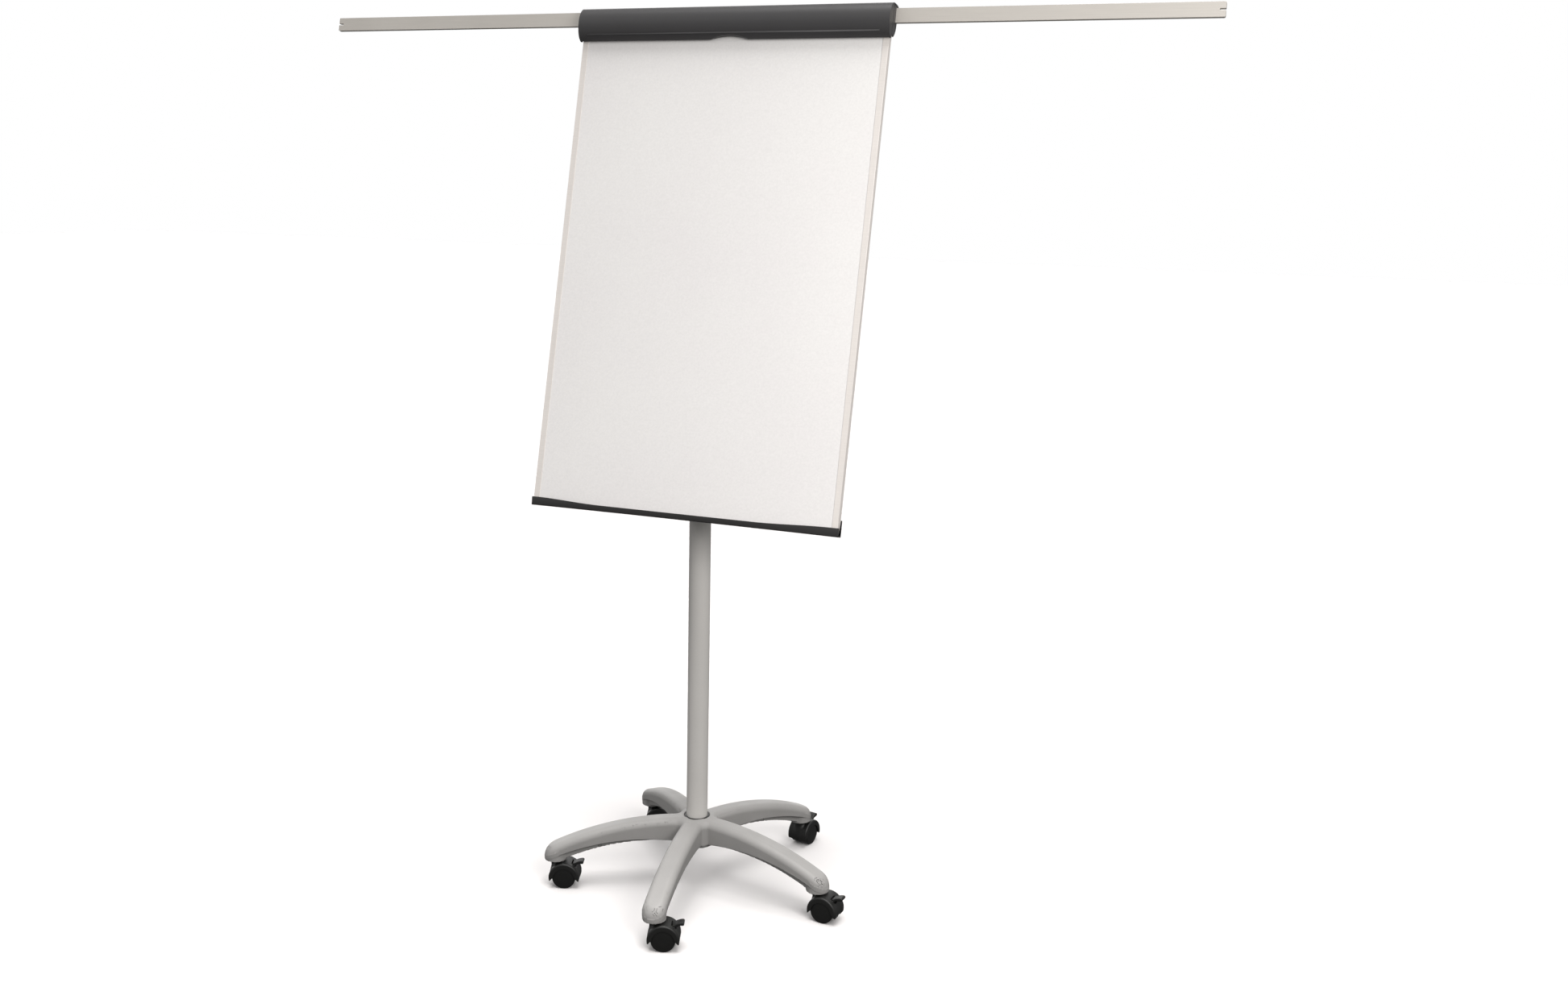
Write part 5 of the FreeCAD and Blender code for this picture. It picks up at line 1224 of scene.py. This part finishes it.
@dataclass
class PullOutArm:
    """Flat anodised arm with rounded corners and a notch in its end."""

    side: float
    body: str
    node: str
    notch_length: float = 12.0 * MM
    notch_height: float = 3.5 * MM
    corner: float = 3.0 * MM
    slit_corner: float = 0.8 * MM
    edge_round: float = 0.6 * MM

    def build(self, palette: Palette, board: BoardSpace) -> None:
        """Cut the arm's side view, extrude it through its thickness and dress it."""
        low, high = board.measure(self.node)
        tip = max(abs(low[0]), abs(high[0]))
        inner = min(abs(low[0]), abs(high[0]))
        middle = (low[2] + high[2]) / 2
        half = (high[2] - low[2]) / 2
        slit = self.notch_height / 2
        end = tip - self.notch_length
        outline = [(inner, middle - half), (tip, middle - half), (tip, middle - slit), (end, middle - slit),
                   (end, middle + slit), (tip, middle + slit), (tip, middle + half), (inner, middle + half)]
        radii = [0.0, self.corner, self.slit_corner, slit, slit, self.slit_corner, self.corner, 0.0]
        shape = [(self.side * x, z) for x, z in rounded(outline, radii, 4)]
        piece = plate(self.node + "_extrusion", shape, low[1], high[1], board.matrix())
        soften(piece, self.edge_round, angle=50.0)
        palette.dress(piece, ANODISED)
        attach(piece, self.body)
        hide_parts(self.node)
        LOG.info("%s placed", self.node)


@dataclass
class MastCollar:
    """Black ring that closes the hub round the mast."""

    tube_radius: float = 23.55 * MM
    radius: float = 28.2 * MM
    height: float = 4.4 * MM
    crown: float = 1.4 * MM
    foot_round: float = 0.3 * MM
    throat_round: float = 0.6 * MM

    def build(self, palette: Palette) -> None:
        """Make the ring on the hub's seat and dress it."""
        foot = min(v.co.z for v in frame["nodes"]["base_collar"].data.vertices)
        top = foot + self.height
        corners = [(self.tube_radius, foot), (self.radius, foot), (self.radius, top), (self.tube_radius, top)]
        profile = rounded(corners, [0.0, self.foot_round, self.crown, self.throat_round], 5)
        ring = lathe("base_collar_ring", profile, Matrix.Identity(4))
        palette.dress(ring, BLACK_MOULDING)
        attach(ring, "base")
        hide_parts("base_collar")
        LOG.info("mast collar placed")


@dataclass
class CarriedNodes:
    """CAD nodes whose shape stays: each gets its finish, and some get softened edges."""

    softened: dict[str, float] = field(default_factory=lambda: {
        "end_caps": 0.7 * MM,
        "head_bracket": 0.5 * MM,
        "spine_channel": 0.3 * MM,
        "side_profiles": 0.25 * MM,
        "head_rail": 0.25 * MM,
    })

    finishes: dict[Finish, tuple[str, ...]] = field(default_factory=lambda: {
        MAST_PAINT: ("outer_tube", "inner_tube", "head_bracket", "spine_channel"),
        CHARCOAL: ("end_caps",),
        PROFILE_SATIN: ("side_profiles",),
        BLACK_MOULDING: ("guide_bush", "clamp_collar", "knob", "tube_glide", "tube_cap",
                         "pad_peg_left", "pad_peg_right", "arm_shoe_left", "arm_shoe_right"),
        ANODISED: ("head_rail",),
        ZINC: ("castor_sockets", "castor_stems", "mast_foot", "mast_bolt", "knob_stud",
               "bracket_bolts", "board_screws", "hinge_pins", "clamp_springs"),
        ENAMEL: ("writing_sheet",),
        FIBREBOARD: ("board_core",),
        BACKING: ("back_sheet",),
        RUBBER: ("grip_strip",),
    })

    def build(self, palette: Palette) -> None:
        """Dress every carried node."""
        for finish, nodes in self.finishes.items():
            for node in nodes:
                palette.dress_node(node, finish)
        for node, width in self.softened.items():
            soften_node(node, width)
        LOG.info("carried nodes dressed")


# ---------------------------------------------------------------- studio
@dataclass(frozen=True)
class SunLamp:
    """Distant soft light, even all over the floor: direction to it, width in degrees, W/m2 and colour."""

    name: str
    towards: Point3
    spread: float
    strength: float
    colour: Point3

    def build(self) -> None:
        """Put the light in the scene."""
        data = bpy.data.lights.new(self.name, "SUN")
        data.angle = math.radians(self.spread)
        data.energy = self.strength
        data.color = self.colour
        lamp = bpy.data.objects.new(self.name, data)
        lamp.rotation_mode = "QUATERNION"
        lamp.rotation_quaternion = Vector(self.towards).to_track_quat("Z", "Y")
        bpy.context.scene.collection.objects.link(lamp)


SUN_LAMPS = (
    SunLamp("overhead", (0.05, -0.1, 1.0), 38.0, 2.25, (1.0, 0.99, 0.985)),
    SunLamp("side", (-0.8, -0.3, 0.35), 50.0, 0.3, (0.985, 0.99, 1.0)),
    SunLamp("rear", (-0.45, 0.85, 0.2), 60.0, 0.8, (1.0, 0.995, 0.99)),
)


@dataclass
class Studio:
    """Pale floor, soft lights and the camera."""

    eye: Point3 = (1.3025, -2.9162, 1.552)
    heading: float = 20.84
    dip: float = 11.48
    roll: float = 1.291
    lens: float = 34.655
    floor_half: float = 30.0
    floor_tones: tuple[Point3, Point3] = ((0.87, 0.85, 0.845), (0.88, 0.86, 0.855))
    glow_heights: Point2 = (-0.35, 0.6)
    glow_strengths: Point2 = (0.12, 0.5)

    def camera(self) -> None:
        """Camera at the viewing angle."""
        yaw, pitch, roll = (math.radians(a) for a in (self.heading, self.dip, self.roll))
        ahead = Vector((-math.sin(yaw) * math.cos(pitch), math.cos(yaw) * math.cos(pitch), -math.sin(pitch)))
        right = Vector((math.cos(yaw), math.sin(yaw), 0.0))
        above = right.cross(ahead)
        tilted_right = right * math.cos(roll) + above * math.sin(roll)
        tilted_above = above * math.cos(roll) - right * math.sin(roll)
        data = bpy.data.cameras.new("view")
        data.lens = self.lens
        data.sensor_width = 36.0
        data.clip_end = 100.0
        camera = bpy.data.objects.new("view", data)
        turn = Matrix((tilted_right, tilted_above, -ahead)).transposed().to_4x4()
        camera.matrix_world = Matrix.Translation(Vector(self.eye)) @ turn
        bpy.context.scene.collection.objects.link(camera)
        bpy.context.scene.camera = camera

    def floor(self) -> None:
        """Plain pale floor."""
        half = self.floor_half
        corners = [(-half, -half, 0.0), (half, -half, 0.0), (half, half, 0.0), (-half, half, 0.0)]
        mesh = mesh_of("floor", corners, [(0, 1, 2, 3)])
        piece = add_object("floor", mesh)
        material = bpy.data.materials.new("pale_floor")
        board = NodeBoard(material)
        board.shader.inputs["Roughness"].default_value = 0.9
        board.shader.inputs["Specular IOR Level"].default_value = 0.1
        wash = board.span(board.noise(1.2, 2.0), 0.0, 1.0)
        board.link(board.between(wash, *self.floor_tones), board.shader.inputs["Base Color"])
        mesh.materials.append(material)
        piece.visible_diffuse = False
        piece.visible_glossy = False

    def softbox(self, name: str, place: Point3, target: Point3, side: float, power: float,
                colour: Point3) -> None:
        """Square soft light near the object, which falls off across it.

        Args:
            name: Name of the light.
            place: Where it stands.
            target: Point that it faces.
            side: Length of its side.
            power: Watts.
            colour: Linear colour.
        """
        data = bpy.data.lights.new(name, "AREA")
        data.size = side
        data.energy = power
        data.color = colour
        lamp = bpy.data.objects.new(name, data)
        lamp.location = place
        lamp.rotation_mode = "QUATERNION"
        lamp.rotation_quaternion = (Vector(target) - Vector(place)).to_track_quat("-Z", "Y")
        bpy.context.scene.collection.objects.link(lamp)

    def world(self) -> None:
        """White surroundings that light from above more than from below."""
        world = bpy.data.worlds.new("studio")
        world.use_nodes = True
        tree = world.node_tree
        tree.nodes.clear()
        output = tree.nodes.new("ShaderNodeOutputWorld")
        place = tree.nodes.new("ShaderNodeTexCoord")
        split = tree.nodes.new("ShaderNodeSeparateXYZ")
        tree.links.new(place.outputs["Generated"], split.inputs[0])
        ramp = tree.nodes.new("ShaderNodeMapRange")
        for edge, height, strength in zip(("Min", "Max"), self.glow_heights, self.glow_strengths):
            ramp.inputs["From " + edge].default_value = height
            ramp.inputs["To " + edge].default_value = strength
        tree.links.new(split.outputs["Z"], ramp.inputs["Value"])
        glow = tree.nodes.new("ShaderNodeBackground")
        glow.inputs["Color"].default_value = (1.0, 0.995, 0.985, 1.0)
        tree.links.new(ramp.outputs["Result"], glow.inputs["Strength"])
        white = tree.nodes.new("ShaderNodeBackground")
        white.inputs["Color"].default_value = (1.0, 1.0, 1.0, 1.0)
        white.inputs["Strength"].default_value = 1.0
        path = tree.nodes.new("ShaderNodeLightPath")
        mix = tree.nodes.new("ShaderNodeMixShader")
        tree.links.new(path.outputs["Is Camera Ray"], mix.inputs[0])
        tree.links.new(glow.outputs[0], mix.inputs[1])
        tree.links.new(white.outputs[0], mix.inputs[2])
        tree.links.new(mix.outputs[0], output.inputs["Surface"])
        bpy.context.scene.world = world

    def build(self) -> None:
        """Set the studio up."""
        self.camera()
        self.floor()
        self.world()
        for lamp in SUN_LAMPS:
            lamp.build()
        self.softbox("front", (1.9, -1.6, 2.0), (0.0, 0.0, 1.1), 1.3, 42.0, (1.0, 0.985, 0.97))
        settings = bpy.context.scene.view_settings
        settings.view_transform = "Standard"
        settings.look = "None"
        settings.exposure = 0.0
        settings.gamma = 1.0
        LOG.info("studio ready")


def main() -> None:
    """Build and dress the easel, piece by piece."""
    logging.basicConfig(level=logging.INFO, format="%(name)s: %(message)s")
    palette = Palette()
    tray = PenTray()
    board = BoardSpace(tray.end_height)
    Studio().build()
    CarriedNodes().build(palette)
    StarBase().build(palette)
    MastCollar().build(palette)
    build_castors(palette)
    tray.build(palette, board)
    ClampCover().build(palette, board)
    PullOutArm(-1.0, "left_arm", "arm_left").build(palette, board)
    PullOutArm(1.0, "right_arm", "arm_right").build(palette, board)


if __name__ == "__main__":
    main()
